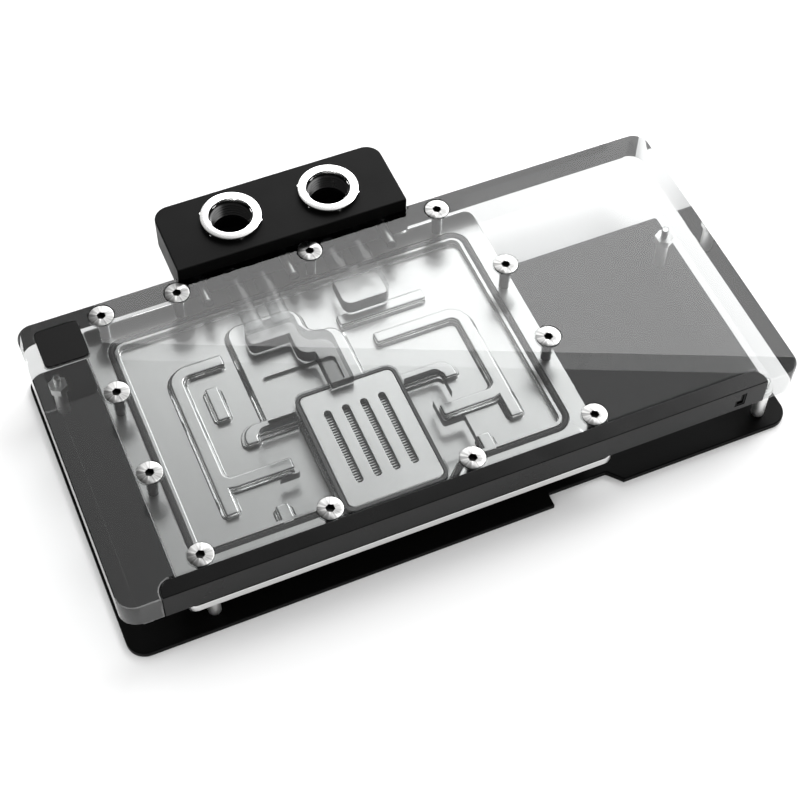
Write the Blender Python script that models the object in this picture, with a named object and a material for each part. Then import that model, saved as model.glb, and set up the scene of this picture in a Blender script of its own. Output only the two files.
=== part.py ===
# Graphics card water block: clear top plate over a nickelled cold plate, with terminal block and backplate
import bpy
import bmesh
from math import acos, atan2, ceil, cos, pi, sin, tan
from mathutils import Matrix, Vector

# Plan positions run from the front left corner of the clear top, heights from the ground.

# Stack, from the ground up
BACKPLATE_THICKNESS = 0.0020
BOARD_GAP = 0.0099
COLD_THICKNESS = 0.0031
TOP_THICKNESS = 0.0097
SEAT_GAP = 0.0003
FIT = 0.0002

# Clear top
TOP_LENGTH = 0.2040
TOP_DEPTH = 0.1000
TOP_CORNER = 0.0050
EDGE_BREAK = 0.0003
REBATE_WIDTH = 0.0052
REBATE_MARGIN = 0.0250
REBATE_HEIGHT = 0.0010

# Light bar along the front edge
BAR_MARGIN = 0.0115
BAR_DEPTH = 0.0050
BAR_CORNER = 0.0038
BAR_WALL = 0.0012
BAR_END_WALL = 0.0042
STRIP_THICKNESS = 0.0010
STRIP_HEIGHT = 0.0060
LAMP_COUNT = 14
LAMP_WIDTH = 0.0035
LAMP_HEIGHT = 0.0028
LAMP_DEPTH = 0.0008
SOCKET_MARGIN = 0.0080
SOCKET_DROP = 0.0050
SOCKET_WIDTH = 0.0030
SOCKET_HEIGHT = 0.0050
SOCKET_STEP = 0.0024
SOCKET_DEPTH = 0.0034
SOCKET_WALL = 0.0005

# Cold plate
COLD_LEFT = 0.0176
COLD_LENGTH = 0.1273
COLD_MARGIN = 0.0005
COLD_CORNER = 0.0030
CHAMBER_DEPTH = 0.0020
FIN_PITCH = 0.0015
FIN_SLOT = 0.0008
FIN_END_MARGIN = 0.0035
PEDESTAL_LENGTH = 0.0340
PEDESTAL_DEPTH = 0.0300
PEDESTAL_HEIGHT = 0.0016
PAD_HEIGHT = 0.0009
PAD_CORNER = 0.0010
PAD_LENGTH = 0.0155
PAD_DEPTH = 0.0580
PAD_FRONT = 0.0120
PAD_MARGIN = 0.0120
BACK_PAD_LENGTH = 0.0400
BACK_PAD_DEPTH = 0.0150
BACK_PAD_GAP = 0.0110
BOSS_RADIUS = 0.0030
BOSS_HEIGHT = 0.0030
BOSS_BORE = 0.0012
BOSS_SPACING = 0.0580

# Jet plate and its gasket
JET_LEFT = 0.0686
JET_FRONT = 0.0113
JET_LENGTH = 0.0290
JET_DEPTH = 0.0400
JET_CORNER = 0.0020
JET_THICKNESS = 0.0013
JET_BREAK = 0.0004
JET_SLOTS = 4
JET_SLOT_WIDTH = 0.0022
JET_SLOT_LENGTH = 0.0260
JET_SLOT_PITCH = 0.0056
GASKET_WIDTH = 0.0012
GATE_START = 0.0104
GATE_WIDTH = 0.0056

# Chamber milled into the cold plate, and the guide ribs left standing in it
CHAMBER_MARGIN = 0.0089
CHAMBER_FRONT = 0.0163
CHAMBER_BACK_MARGIN = 0.0099
CHAMBER_CORNER = 0.0025
RIB = 0.0041
RIB_BEND = 0.0021
GUIDE_INSET = 0.0122
LANE_WIDTH = 0.0166
GUIDE_BEND = 0.0042
GUIDE_DROP = 0.0159
GUIDE_REACH = 0.0154
HOOK_REACH = 0.0143
HOOK_LEG = 0.0043
LEG_FRONT = 0.0230
STUB_LENGTH = 0.0052
ISLAND_INSET = 0.0052
ISLAND_DEPTH = 0.0122
LEVEE_DROP = 0.0259
ENGINE_MARGIN = 0.0023
ENGINE_MARGIN_RIGHT = 0.0014
PLATEAU_LEFT = 0.0577
PLATEAU_RIGHT = 0.0903
PLATEAU_NECK = 0.0807
PLATEAU_BACK_MARGIN = 0.0056
PLATEAU_SHOULDER = 0.0110
PLATEAU_BEND = 0.0045
RECESS_DEPTH = 0.0012
RECESS_BACK = 0.0120
RECESS_GAP = 0.0023

# Pools and channels in the underside of the clear top
WELL_HEIGHT = 0.0047
WELL_CORNER = 0.0020
WELL_WIDTH = 0.0112
WELL_DEPTH = 0.0100
SUMP_LENGTH = 0.0063
SUMP_DEPTH = 0.0080
SUMP_GAP = 0.0180
INLET_POOL_LEFT = 0.0623
INLET_POOL_LENGTH = 0.0155
INLET_POOL_DEPTH = 0.0072
INLET_POOL_MARGIN = 0.0109
CHANNEL_WIDTH = 0.0070
CHANNEL_BEND = 0.0040
OUTLET_POOL_LEFT = 0.0933
OUTLET_POOL_LENGTH = 0.0149
OUTLET_POOL_MARGIN = 0.0149
OUTLET_POOL_DEPTH = 0.0130
OUTLET_POOL_CORNER = 0.0028

# Chamber seal
SEAL_MARGIN = 0.0069
SEAL_FRONT = 0.0142
SEAL_BACK_MARGIN = 0.0080
SEAL_CORNER = 0.0045
SEAL_DIP = 0.0055
SEAL_DIP_RUN = 0.0060
SEAL_DIAMETER = 0.0017
SEAL_SQUEEZE = 0.0002

# Top screws
SCREW_FRONT = 0.0089
SCREW_BACK_MARGIN = 0.0048
SCREW_BITE_MARGIN = 0.0052
SCREW_SIDE_MARGIN = 0.0032
SCREW_CORNER_MARGIN = 0.0074
SCREW_SIDE_FRONT = 0.0385
SCREW_SIDE_BACK_MARGIN = 0.0324
ENGINE_SCREW_GAP = 0.0066
BACK_SCREWS = (0.0480, 0.0898, 0.1315)
HEAD_DIAMETER = 0.0074
HEAD_HEIGHT = 0.0026
SHANK_DIAMETER = 0.0029
HEX_SOCKET = 0.0024
HEX_DEPTH = 0.0016

# Terminal block on the back edge
TERMINAL_LEFT = 0.0500
TERMINAL_LENGTH = 0.0732
TERMINAL_DEPTH = 0.0252
TERMINAL_RISE = 0.0040
TERMINAL_DROP = 0.0072
TERMINAL_CORNER = 0.0050
TERMINAL_BITE = 0.0012
FLANGE_DEPTH = 0.0040
FLANGE_INSET = 0.0060
INLET_PORT_OFFSET = 0.0214
INLET_PORT_SETBACK = 0.0130
OUTLET_PORT_OFFSET = 0.0524
OUTLET_PORT_SETBACK = 0.0122
PORT_BORE = 0.0116
PORT_BARREL = 0.0146
PORT_BARREL_LENGTH = 0.0056
PORT_FLANGE = 0.0185
PORT_FLANGE_HEIGHT = 0.0006
PORT_HEX = 0.0166
PORT_HEX_HEIGHT = 0.0008
INLET_DUCT_OFFSET = 0.0198
OUTLET_DUCT_OFFSET = 0.0508
DUCT_PITCH = 0.0084
DUCT_BORE = 0.0057
DUCT_HEIGHT = 0.0051
PASSAGE_HEIGHT = 0.0044
PORT_SEAL_DIAMETER = 0.0009
PORT_SEAL_MARGIN = 0.00075
CLAMP_OFFSETS = (0.0059, 0.0329, 0.0645)
CLAMP_DROP = 0.0036
CLAMP_DIAMETER = 0.0030
CLAMP_HEAD = 0.0055
CLAMP_HEAD_HEIGHT = 0.0030
CLAMP_REACH = 0.0092

# Badge plate let into the top
BADGE_INSET = 0.01135
BADGE_BACK_MARGIN = 0.01025
BADGE_SIZE = 0.0132
BADGE_CORNER = 0.0020
BADGE_THICKNESS = 0.0012

# Backplate and its standoffs
BACKPLATE_OVERHANG = 0.0015
BACKPLATE_BACK_MARGIN = 0.0168
BACKPLATE_TAIL_MARGIN = 0.0043
BACKPLATE_TAIL_WIDTH = 0.0500
BACKPLATE_CORNER = 0.0055
NOTCH_START = 0.1263
NOTCH_LENGTH = 0.0187
NOTCH_SLANT = 0.0038
NOTCH_DEPTH = 0.0043
NOTCH_CORNER = 0.0010
STANDOFF_FRONT = 0.0040
STANDOFF_INSET = 0.0079
STANDOFF_RIGHT_MARGIN = 0.0083
STANDOFF_SIDE_MARGIN = 0.0340
STANDOFF_CORNER_INSET = 0.0070
STANDOFF_CORNER_MARGIN = 0.0160
STANDOFF_DIAMETER = 0.0033
STANDOFF_COLLAR = 0.0050
STANDOFF_COLLAR_HEIGHT = 0.0015
STANDOFF_HEX = 0.0050
STANDOFF_HEX_HEIGHT = 0.0025
STUD_DIAMETER = 0.0020
STUD_LENGTH = 0.0028
FOOT_SCREW_HEAD = 0.0040
FOOT_SCREW_HEAD_HEIGHT = 0.0010
FOOT_SCREW_LENGTH = 0.0050

# Fineness of round shapes
ARC_TOLERANCE = 0.00009
SCREW_SIDES = 14
HOLE_SIDES = 10
PORT_SIDES = 28
TUBE_SIDES = 2

# Heights that follow from the stack
BACKPLATE_TOP = BACKPLATE_THICKNESS
COLD_BOTTOM = BACKPLATE_TOP + BOARD_GAP
COLD_TOP = COLD_BOTTOM + COLD_THICKNESS
TOP_BOTTOM = COLD_TOP + SEAT_GAP
TOP_TOP = TOP_BOTTOM + TOP_THICKNESS
BLOCK_TOP = TOP_TOP + TERMINAL_RISE
BLOCK_BOTTOM = TOP_TOP - TERMINAL_DROP
TERMINAL_FRONT = TOP_DEPTH - TERMINAL_BITE + SEAT_GAP
TERMINAL_BACK = TERMINAL_FRONT + TERMINAL_DEPTH
DUCT_Z = TOP_BOTTOM + DUCT_HEIGHT
CLAMP_Z = TOP_TOP - CLAMP_DROP
CHAMBER_FLOOR = COLD_TOP - CHAMBER_DEPTH
WELL_CEILING = TOP_BOTTOM + WELL_HEIGHT
OVERRUN = 0.0010

# Plan places that follow from the outlines
BAR_END = TOP_LENGTH - BAR_MARGIN
COLD_RIGHT = COLD_LEFT + COLD_LENGTH
COLD_BACK = TOP_DEPTH - COLD_MARGIN
JET_RIGHT = JET_LEFT + JET_LENGTH
JET_BACK = JET_FRONT + JET_DEPTH
GATE_LEFT = JET_LEFT + GATE_START
GATE_RIGHT = GATE_LEFT + GATE_WIDTH
ENGINE_LEFT = JET_LEFT - ENGINE_MARGIN
ENGINE_RIGHT = JET_RIGHT + ENGINE_MARGIN_RIGHT
CHAMBER_LEFT = COLD_LEFT + CHAMBER_MARGIN
CHAMBER_RIGHT = COLD_RIGHT - CHAMBER_MARGIN
CHAMBER_BACK = TOP_DEPTH - CHAMBER_BACK_MARGIN
GUIDE_Y = CHAMBER_BACK - GUIDE_DROP
LANE_Y = CHAMBER_FRONT + LANE_WIDTH
HOOK_Y = JET_BACK - RIB
POOL_BACK = CHAMBER_BACK - INLET_POOL_MARGIN
INLET_X = TERMINAL_LEFT + INLET_DUCT_OFFSET
OUTLET_X = TERMINAL_LEFT + OUTLET_DUCT_OFFSET
DUCT_PLACES = (INLET_X, OUTLET_X)
PORT_PLACES = (
    (TERMINAL_LEFT + INLET_PORT_OFFSET, TERMINAL_FRONT + INLET_PORT_SETBACK),
    (TERMINAL_LEFT + OUTLET_PORT_OFFSET, TERMINAL_FRONT + OUTLET_PORT_SETBACK),
)
CLAMP_PLACES = [TERMINAL_LEFT + offset for offset in CLAMP_OFFSETS]
BADGE_CENTRE = (BADGE_INSET, TOP_DEPTH - BADGE_BACK_MARGIN)
BACK_ROW = TOP_DEPTH - SCREW_BACK_MARGIN
BITE_ROW = TOP_DEPTH - SCREW_BITE_MARGIN
SIDE_ROW = TOP_DEPTH - SCREW_SIDE_BACK_MARGIN
SCREW_PLACES = (
    (COLD_LEFT + SCREW_CORNER_MARGIN, BACK_ROW), (BACK_SCREWS[0], BITE_ROW), (BACK_SCREWS[1], BITE_ROW),
    (BACK_SCREWS[2], BACK_ROW), (COLD_LEFT + SCREW_SIDE_MARGIN, SIDE_ROW),
    (COLD_LEFT + SCREW_SIDE_MARGIN, SCREW_SIDE_FRONT), (COLD_RIGHT - SCREW_SIDE_MARGIN, SCREW_SIDE_FRONT),
    (COLD_RIGHT - SCREW_SIDE_MARGIN, SIDE_ROW), (COLD_LEFT + SCREW_CORNER_MARGIN, SCREW_FRONT),
    (JET_LEFT - ENGINE_SCREW_GAP, SCREW_FRONT), (JET_RIGHT + ENGINE_SCREW_GAP, SCREW_FRONT),
    (COLD_RIGHT - SCREW_SIDE_MARGIN, SCREW_FRONT),
)
STANDOFF_PLACES = (
    (COLD_LEFT + STANDOFF_INSET, STANDOFF_FRONT), (TOP_LENGTH - STANDOFF_RIGHT_MARGIN, STANDOFF_FRONT),
    (TOP_LENGTH - STANDOFF_RIGHT_MARGIN, TOP_DEPTH - STANDOFF_SIDE_MARGIN),
    (STANDOFF_CORNER_INSET, TOP_DEPTH - STANDOFF_CORNER_MARGIN),
)

# The origin lies on the ground under the middle of the whole block.
ORIGIN = Vector((TOP_LENGTH / 2, (TERMINAL_BACK - BACKPLATE_OVERHANG) / 2, 0.0))

MATERIALS = {
    "acrylic": ((0.86, 0.90, 0.91, 1.0), 0.04, 0.0),
    "nickel": ((0.62, 0.62, 0.61, 1.0), 0.12, 1.0),
    "black_metal": ((0.012, 0.012, 0.013, 1.0), 0.42, 0.0),
    "black_plastic": ((0.015, 0.015, 0.016, 1.0), 0.50, 0.0),
    "rubber": ((0.020, 0.020, 0.020, 1.0), 0.60, 0.0),
    "steel": ((0.55, 0.55, 0.55, 1.0), 0.25, 1.0),
    "circuit": ((0.75, 0.75, 0.72, 1.0), 0.50, 0.0),
}


def clear_scene():
    for item in list(bpy.data.objects):
        bpy.data.objects.remove(item, do_unlink=True)


def finish(obj, kind):
    color, roughness, metallic = MATERIALS[kind]
    material = bpy.data.materials.new(obj.name)
    material.use_nodes = True
    shader = material.node_tree.nodes["Principled BSDF"]
    shader.inputs["Base Color"].default_value = color
    shader.inputs["Roughness"].default_value = roughness
    shader.inputs["Metallic"].default_value = metallic
    if kind == "acrylic":
        shader.inputs["Transmission Weight"].default_value = 1.0
        shader.inputs["IOR"].default_value = 1.49
    obj.data.materials.clear()
    obj.data.materials.append(material)
    return obj


def add_object(name, data, origin=ORIGIN):
    obj = bpy.data.objects.new(name, data)
    obj.location = -origin
    bpy.context.collection.objects.link(obj)
    return obj


def mesh_object(name, bm):
    bmesh.ops.remove_doubles(bm, verts=bm.verts, dist=1e-7)
    bmesh.ops.recalc_face_normals(bm, faces=bm.faces)
    mesh = bpy.data.meshes.new(name)
    bm.to_mesh(mesh)
    bm.free()
    return add_object(name, mesh)


def rounded(corners):
    # Outline through (x, y, radius) corners, each turned into an arc that touches both its sides.
    points = []
    for index, (x, y, radius) in enumerate(corners):
        corner = Vector((x, y))
        if radius <= 0:
            points.append(corner)
            continue
        before = Vector(corners[index - 1][:2]) - corner
        after = Vector(corners[(index + 1) % len(corners)][:2]) - corner
        half = before.angle(after) / 2
        reach = min(radius / tan(half), before.length * 0.499, after.length * 0.499)
        fillet = reach * tan(half)
        centre = corner + (before.normalized() + after.normalized()).normalized() * fillet / sin(half)
        first = corner + before.normalized() * reach - centre
        last = corner + after.normalized() * reach - centre
        start = atan2(first.y, first.x)
        turn = atan2(last.y, last.x) - start
        turn -= 2 * pi * round(turn / (2 * pi))
        chord = 2 * acos(max(0.0, 1 - ARC_TOLERANCE / fillet))
        steps = max(1, ceil(abs(turn) / chord - 0.01))
        for step in range(steps + 1):
            angle = start + turn * step / steps
            points.append(centre + Vector((cos(angle), sin(angle))) * fillet)
    return points


def rectangle(left, front, right, back, radius=0.0):
    return rounded([(x, y, radius) for x, y in ((left, front), (right, front), (right, back), (left, back))])


def circle(x, y, diameter, sides):
    turns = [2 * pi * (step + 0.5) / sides for step in range(sides)]
    return [Vector((x + cos(turn) * diameter / 2, y + sin(turn) * diameter / 2)) for turn in turns]


def hexagon(x, y, across_flats):
    return circle(x, y, across_flats / cos(pi / 6), 6)


def slot_outline(x, y, pitch, radius):
    # Round-ended slot along X.
    half = pitch / 2 + radius
    return rectangle(x - half, y - radius, x + half, y + radius, radius * 0.9999)


def band(path, width, bend):
    # Outline of a rib of constant width along a path whose corners are rounded at the given radius.
    last = len(path) - 1
    points = rounded([(x, y, bend if 0 < index < last else 0.0) for index, (x, y) in enumerate(path)])
    left = []
    right = []
    for index, point in enumerate(points):
        heading = Vector((0, 0))
        if index < len(points) - 1:
            heading += (points[index + 1] - point).normalized()
        if index > 0:
            heading += (point - points[index - 1]).normalized()
        heading.normalize()
        side = Vector((-heading.y, heading.x)) * width / 2
        left.append(point + side)
        right.append(point - side)
    return right + left[::-1]


def prism(name, outline, low, high, top_break=0.0, bottom_break=0.0):
    bm = bmesh.new()
    face = bm.faces.new([bm.verts.new((point.x, point.y, low)) for point in outline])
    raised = bmesh.ops.extrude_face_region(bm, geom=[face])["geom"]
    moved = [item for item in raised if isinstance(item, bmesh.types.BMVert)]
    bmesh.ops.translate(bm, vec=(0, 0, high - low), verts=moved)
    for level, size in ((high, top_break), (low, bottom_break)):
        if size > 0:
            rim = [edge for edge in bm.edges if all(abs(vert.co.z - level) < 1e-7 for vert in edge.verts)]
            bmesh.ops.bevel(bm, geom=rim, offset=size, segments=1, profile=0.5, affect="EDGES", material=-1)
    return mesh_object(name, bm)


def upright(name, outline, front, back):
    # Prism along +Y from an outline drawn in X and height.
    obj = prism(name, outline, -back, -front)
    obj.data.transform(Matrix.Rotation(pi / 2, 4, "X"))
    return obj


def turned(name, profile, x, y, sides):
    # Solid of revolution about a vertical line; the profile runs (radius, height) from bottom to top.
    bm = bmesh.new()
    verts = [bm.verts.new((radius, 0, height)) for radius, height in profile]
    edges = [bm.edges.new(pair) for pair in zip(verts, verts[1:])]
    bmesh.ops.spin(bm, geom=verts + edges, axis=(0, 0, 1), cent=(0, 0, 0), angle=2 * pi, steps=sides,
                   use_merge=True, use_normal_flip=False, use_duplicate=False)
    bmesh.ops.rotate(bm, verts=bm.verts, cent=(0, 0, 0), matrix=Matrix.Rotation(pi / sides, 3, "Z"))
    bmesh.ops.translate(bm, verts=bm.verts, vec=(x, y, 0))
    bmesh.ops.remove_doubles(bm, verts=bm.verts, dist=1e-7)
    return mesh_object(name, bm)


def smooth(obj, angle=pi / 5):
    obj.data.shade_smooth()
    obj.data.set_sharp_from_angle(angle=angle)
    return obj


def boolean(obj, tool, operation):
    tool.hide_render = True
    tool.display_type = "WIRE"
    change = obj.modifiers.new(f"{operation.lower()}_{tool.name}", "BOOLEAN")
    change.operation = operation
    change.solver = "EXACT"
    change.object = tool
    return obj


def cut(obj, tool):
    return boolean(obj, tool, "DIFFERENCE")


def join(obj, tool):
    return boolean(obj, tool, "UNION")


def settle(obj):
    # Replace the object's mesh by the result of its modifiers.
    bpy.context.view_layer.update()
    result = bpy.data.meshes.new_from_object(obj.evaluated_get(bpy.context.evaluated_depsgraph_get()))
    obj.modifiers.clear()
    obj.data = result
    return obj


def closed_tube(name, points, diameter):
    curve = bpy.data.curves.new(name, "CURVE")
    curve.dimensions = "3D"
    curve.bevel_depth = diameter / 2
    curve.bevel_resolution = TUBE_SIDES
    spline = curve.splines.new("POLY")
    spline.points.add(len(points) - 1)
    for slot, point in zip(spline.points, points):
        slot.co = (*point, 1.0)
    spline.use_cyclic_u = True
    return add_object(name, curve)


# Outlines shared by pieces that fit each other

def top_outline():
    left = BAR_MARGIN - FIT
    right = BAR_END + FIT
    depth = BAR_DEPTH + FIT
    bite_left = TERMINAL_LEFT - FIT
    bite_right = TERMINAL_LEFT + TERMINAL_LENGTH + FIT
    bite = TOP_DEPTH - TERMINAL_BITE
    return rounded([
        (0, 0, TOP_CORNER), (left, 0, 0), (left, depth, BAR_CORNER), (right, depth, BAR_CORNER),
        (right, 0, 0), (TOP_LENGTH, 0, TOP_CORNER), (TOP_LENGTH, TOP_DEPTH, TOP_CORNER),
        (bite_right, TOP_DEPTH, 0), (bite_right, bite, 0), (bite_left, bite, 0),
        (bite_left, TOP_DEPTH, 0), (0, TOP_DEPTH, TOP_CORNER),
    ])


def seal_outline():
    # Rectangle with round corners whose front run dips forward to clear the jet plate.
    left = COLD_LEFT + SEAL_MARGIN
    right = COLD_RIGHT - SEAL_MARGIN
    back = TOP_DEPTH - SEAL_BACK_MARGIN
    dip = SEAL_FRONT - SEAL_DIP
    bend = SEAL_DIP / 2
    return rounded([
        (left, SEAL_FRONT, SEAL_CORNER), (JET_LEFT - SEAL_DIP_RUN, SEAL_FRONT, bend),
        (JET_LEFT, dip, bend), (JET_RIGHT, dip, bend), (JET_RIGHT + SEAL_DIP_RUN, SEAL_FRONT, bend),
        (right, SEAL_FRONT, SEAL_CORNER), (right, back, SEAL_CORNER), (left, back, SEAL_CORNER),
    ])


def offset_outline(points, distance):
    # Closed outline moved outwards along the mean normal of its two sides.
    moved = []
    for index, point in enumerate(points):
        ahead = (points[(index + 1) % len(points)] - point).normalized()
        behind = (point - points[index - 1]).normalized()
        normal = Vector((ahead.y + behind.y, -ahead.x - behind.x)).normalized()
        moved.append(point + normal * distance / max(0.5, normal.dot(Vector((ahead.y, -ahead.x)))))
    return moved


def jet_bounds(margin):
    # Plan rectangle of the jet plate grown by a margin.
    return (JET_LEFT - margin, JET_FRONT - margin, JET_RIGHT + margin, JET_BACK + margin)


def rib_outlines():
    # Guide ribs that stand in the chamber and stop the flow from taking the short way.
    left = CHAMBER_LEFT + GUIDE_INSET
    right = CHAMBER_RIGHT - GUIDE_INSET + RIB / 3
    hook_left = ENGINE_LEFT - HOOK_REACH
    hook_right = ENGINE_RIGHT + HOOK_REACH
    hook_tip = HOOK_Y - HOOK_LEG
    levee = CHAMBER_BACK - LEVEE_DROP
    island = left + ISLAND_INSET + RIB * 0.85
    stub = CHAMBER_FRONT + STUB_LENGTH
    tip_left = ENGINE_LEFT - RIB * 1.5
    tip_right = ENGINE_RIGHT + RIB * 1.6
    guides = [
        ((left + GUIDE_REACH, GUIDE_Y), (left, GUIDE_Y), (left, LANE_Y), (tip_left, LANE_Y)),
        ((PLATEAU_RIGHT + FIT, GUIDE_Y), (PLATEAU_RIGHT + 2 * HOOK_REACH - FIT, GUIDE_Y)),
        ((ENGINE_RIGHT - FIT, levee), (right, levee), (right, LANE_Y), (tip_right, LANE_Y)),
    ]
    shorts = [
        ((left, LEG_FRONT), (left, LANE_Y)),
        ((right, LEG_FRONT), (right, LANE_Y)),
        ((island, JET_BACK + RIB / 2), (island, JET_BACK + RIB / 2 + ISLAND_DEPTH)),
        ((ENGINE_LEFT + RIB, HOOK_Y), (hook_left, HOOK_Y), (hook_left, hook_tip)),
        ((ENGINE_RIGHT - RIB, HOOK_Y), (hook_right, HOOK_Y), (hook_right, hook_tip)),
        ((hook_left, CHAMBER_FRONT - RIB), (hook_left, stub)),
        ((hook_right, CHAMBER_FRONT - RIB), (hook_right, stub)),
    ]
    return [band(path, RIB, GUIDE_BEND) for path in guides] + [band(path, RIB, RIB_BEND) for path in shorts]


def plateau_outline():
    # Raised field behind the jet plate that keeps the incoming coolant apart from the chamber.
    back = CHAMBER_BACK - PLATEAU_BACK_MARGIN
    shoulder = back - PLATEAU_SHOULDER
    return rounded([
        (PLATEAU_LEFT, HOOK_Y, 0), (PLATEAU_RIGHT, HOOK_Y, 0), (PLATEAU_RIGHT, shoulder, PLATEAU_BEND),
        (PLATEAU_NECK, shoulder, PLATEAU_BEND), (PLATEAU_NECK, back, PLATEAU_BEND),
        (PLATEAU_LEFT, back, PLATEAU_BEND),
    ])


def make_chamber_tool():
    # Everything that is milled out of the cold plate inside the seal.
    high = COLD_TOP + OVERRUN
    outline = rectangle(CHAMBER_LEFT, CHAMBER_FRONT, CHAMBER_RIGHT, CHAMBER_BACK, CHAMBER_CORNER)
    chamber = prism("chamber_tool", outline, CHAMBER_FLOOR, high)
    low = CHAMBER_FLOOR - OVERRUN
    engine = rectangle(ENGINE_LEFT, CHAMBER_FRONT - OVERRUN, ENGINE_RIGHT, JET_BACK)
    cut(chamber, prism("engine_block_tool", engine, low, high + OVERRUN))
    cut(chamber, prism("plateau_tool", plateau_outline(), low, high + OVERRUN))
    for index, outline in enumerate(rib_outlines()):
        cut(chamber, prism(f"rib_{index + 1}_tool", outline, low, high + OVERRUN))
    return settle(chamber)


def channel_outline():
    # Way from the inlet pool round to the gate of the jet plate.
    pool_right = INLET_POOL_LEFT + INLET_POOL_LENGTH
    pool_front = POOL_BACK - INLET_POOL_DEPTH
    right = GATE_RIGHT + RECESS_DEPTH
    elbow = pool_front - CHANNEL_BEND / 2
    return rounded([
        (GATE_LEFT, JET_BACK, 0), (right, JET_BACK, 0), (right, elbow, CHANNEL_BEND),
        (pool_right + CHANNEL_BEND / 2, elbow, CHANNEL_BEND),
        (pool_right - WELL_CORNER, POOL_BACK - WELL_CORNER, 0),
        (pool_right - CHANNEL_WIDTH / 2, pool_front + WELL_CORNER, 0),
        (pool_right - CHANNEL_WIDTH / 2, elbow - CHANNEL_WIDTH, CHANNEL_BEND),
        (GATE_LEFT, elbow - CHANNEL_WIDTH, CHANNEL_BEND / 2),
    ])


def make_clear_top():
    top = prism("clear_top", top_outline(), TOP_BOTTOM, TOP_TOP, EDGE_BREAK, EDGE_BREAK)

    hook_face = HOOK_Y - RIB / 2
    sump_back = hook_face - SUMP_GAP
    pool_left = INLET_POOL_LEFT
    outlet_front = CHAMBER_BACK - OUTLET_POOL_MARGIN
    well_left = ENGINE_LEFT - WELL_WIDTH
    well_right = ENGINE_RIGHT + WELL_WIDTH
    well_front = hook_face - WELL_DEPTH
    sump_front = sump_back - SUMP_DEPTH
    sump_corner = WELL_CORNER / 2
    pockets = {
        "well_left": (well_left, well_front, ENGINE_LEFT, hook_face, WELL_CORNER),
        "well_right": (ENGINE_RIGHT, well_front, well_right, hook_face, WELL_CORNER),
        "sump_left": (well_left, sump_front, well_left + SUMP_LENGTH, sump_back, sump_corner),
        "sump_right": (well_right - SUMP_LENGTH, sump_front, well_right, sump_back, sump_corner),
        "inlet_pool": (pool_left, POOL_BACK - INLET_POOL_DEPTH, pool_left + INLET_POOL_LENGTH, POOL_BACK,
                       WELL_CORNER),
        "outlet_pool": (OUTLET_POOL_LEFT, outlet_front, OUTLET_POOL_LEFT + OUTLET_POOL_LENGTH,
                        outlet_front + OUTLET_POOL_DEPTH, OUTLET_POOL_CORNER),
    }
    low = TOP_BOTTOM - OVERRUN
    pools = prism("channel_tool", channel_outline(), low, WELL_CEILING)
    for name, (x0, y0, x1, y1, corner) in pockets.items():
        join(pools, prism(f"{name}_tool", rectangle(x0, y0, x1, y1, corner), low, WELL_CEILING))
    cut(top, settle(pools))

    seat = rectangle(*jet_bounds(GASKET_WIDTH + FIT), JET_CORNER + GASKET_WIDTH)
    cut(top, prism("jet_seat_tool", seat, low, TOP_BOTTOM + JET_THICKNESS + SEAT_GAP))

    rebate = rectangle(-OVERRUN, -OVERRUN, REBATE_WIDTH, TOP_DEPTH - REBATE_MARGIN)
    cut(top, prism("rebate_tool", rebate, low, TOP_BOTTOM + REBATE_HEIGHT))

    half = BADGE_SIZE / 2 + FIT
    x, y = BADGE_CENTRE
    badge = rectangle(x - half, y - half, x + half, y + half, BADGE_CORNER)
    cut(top, prism("badge_tool", badge, TOP_TOP - BADGE_THICKNESS - SEAT_GAP, TOP_TOP + OVERRUN))

    head = HEAD_DIAMETER / 2 + FIT
    shank = SHANK_DIAMETER / 2 + FIT
    shelf = TOP_TOP - HEAD_HEIGHT - SEAT_GAP
    profile = [(0, low), (shank, low), (shank, shelf), (head, shelf), (head, TOP_TOP + OVERRUN),
               (0, TOP_TOP + OVERRUN)]
    for index, (x, y) in enumerate(SCREW_PLACES):
        cut(top, turned(f"screw_hole_{index + 1}_tool", profile, x, y, SCREW_SIDES))

    for x, y in STANDOFF_PLACES[1:]:
        hole = circle(x, y, STUD_DIAMETER + 2 * FIT, HOLE_SIDES)
        cut(top, prism("stud_hole_tool", hole, low, TOP_BOTTOM + STUD_LENGTH + SEAT_GAP))

    back = TOP_DEPTH + OVERRUN
    inlet_end = POOL_BACK - WELL_CORNER
    outlet_end = outlet_front + OUTLET_POOL_DEPTH - WELL_CORNER
    for centre, bore_end in zip(DUCT_PLACES, (inlet_end, outlet_end)):
        for side in (-1, 1):
            bore = circle(centre + side * DUCT_PITCH / 2, DUCT_Z, DUCT_BORE, SCREW_SIDES)
            cut(top, upright("duct_tool", bore, bore_end, back))
    for x in CLAMP_PLACES:
        bore = circle(x, CLAMP_Z, CLAMP_DIAMETER + 2 * FIT, HOLE_SIDES)
        cut(top, upright("clamp_hole_tool", bore, TERMINAL_FRONT - CLAMP_REACH - SEAT_GAP, back))
    return smooth(finish(top, "acrylic"))


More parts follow.
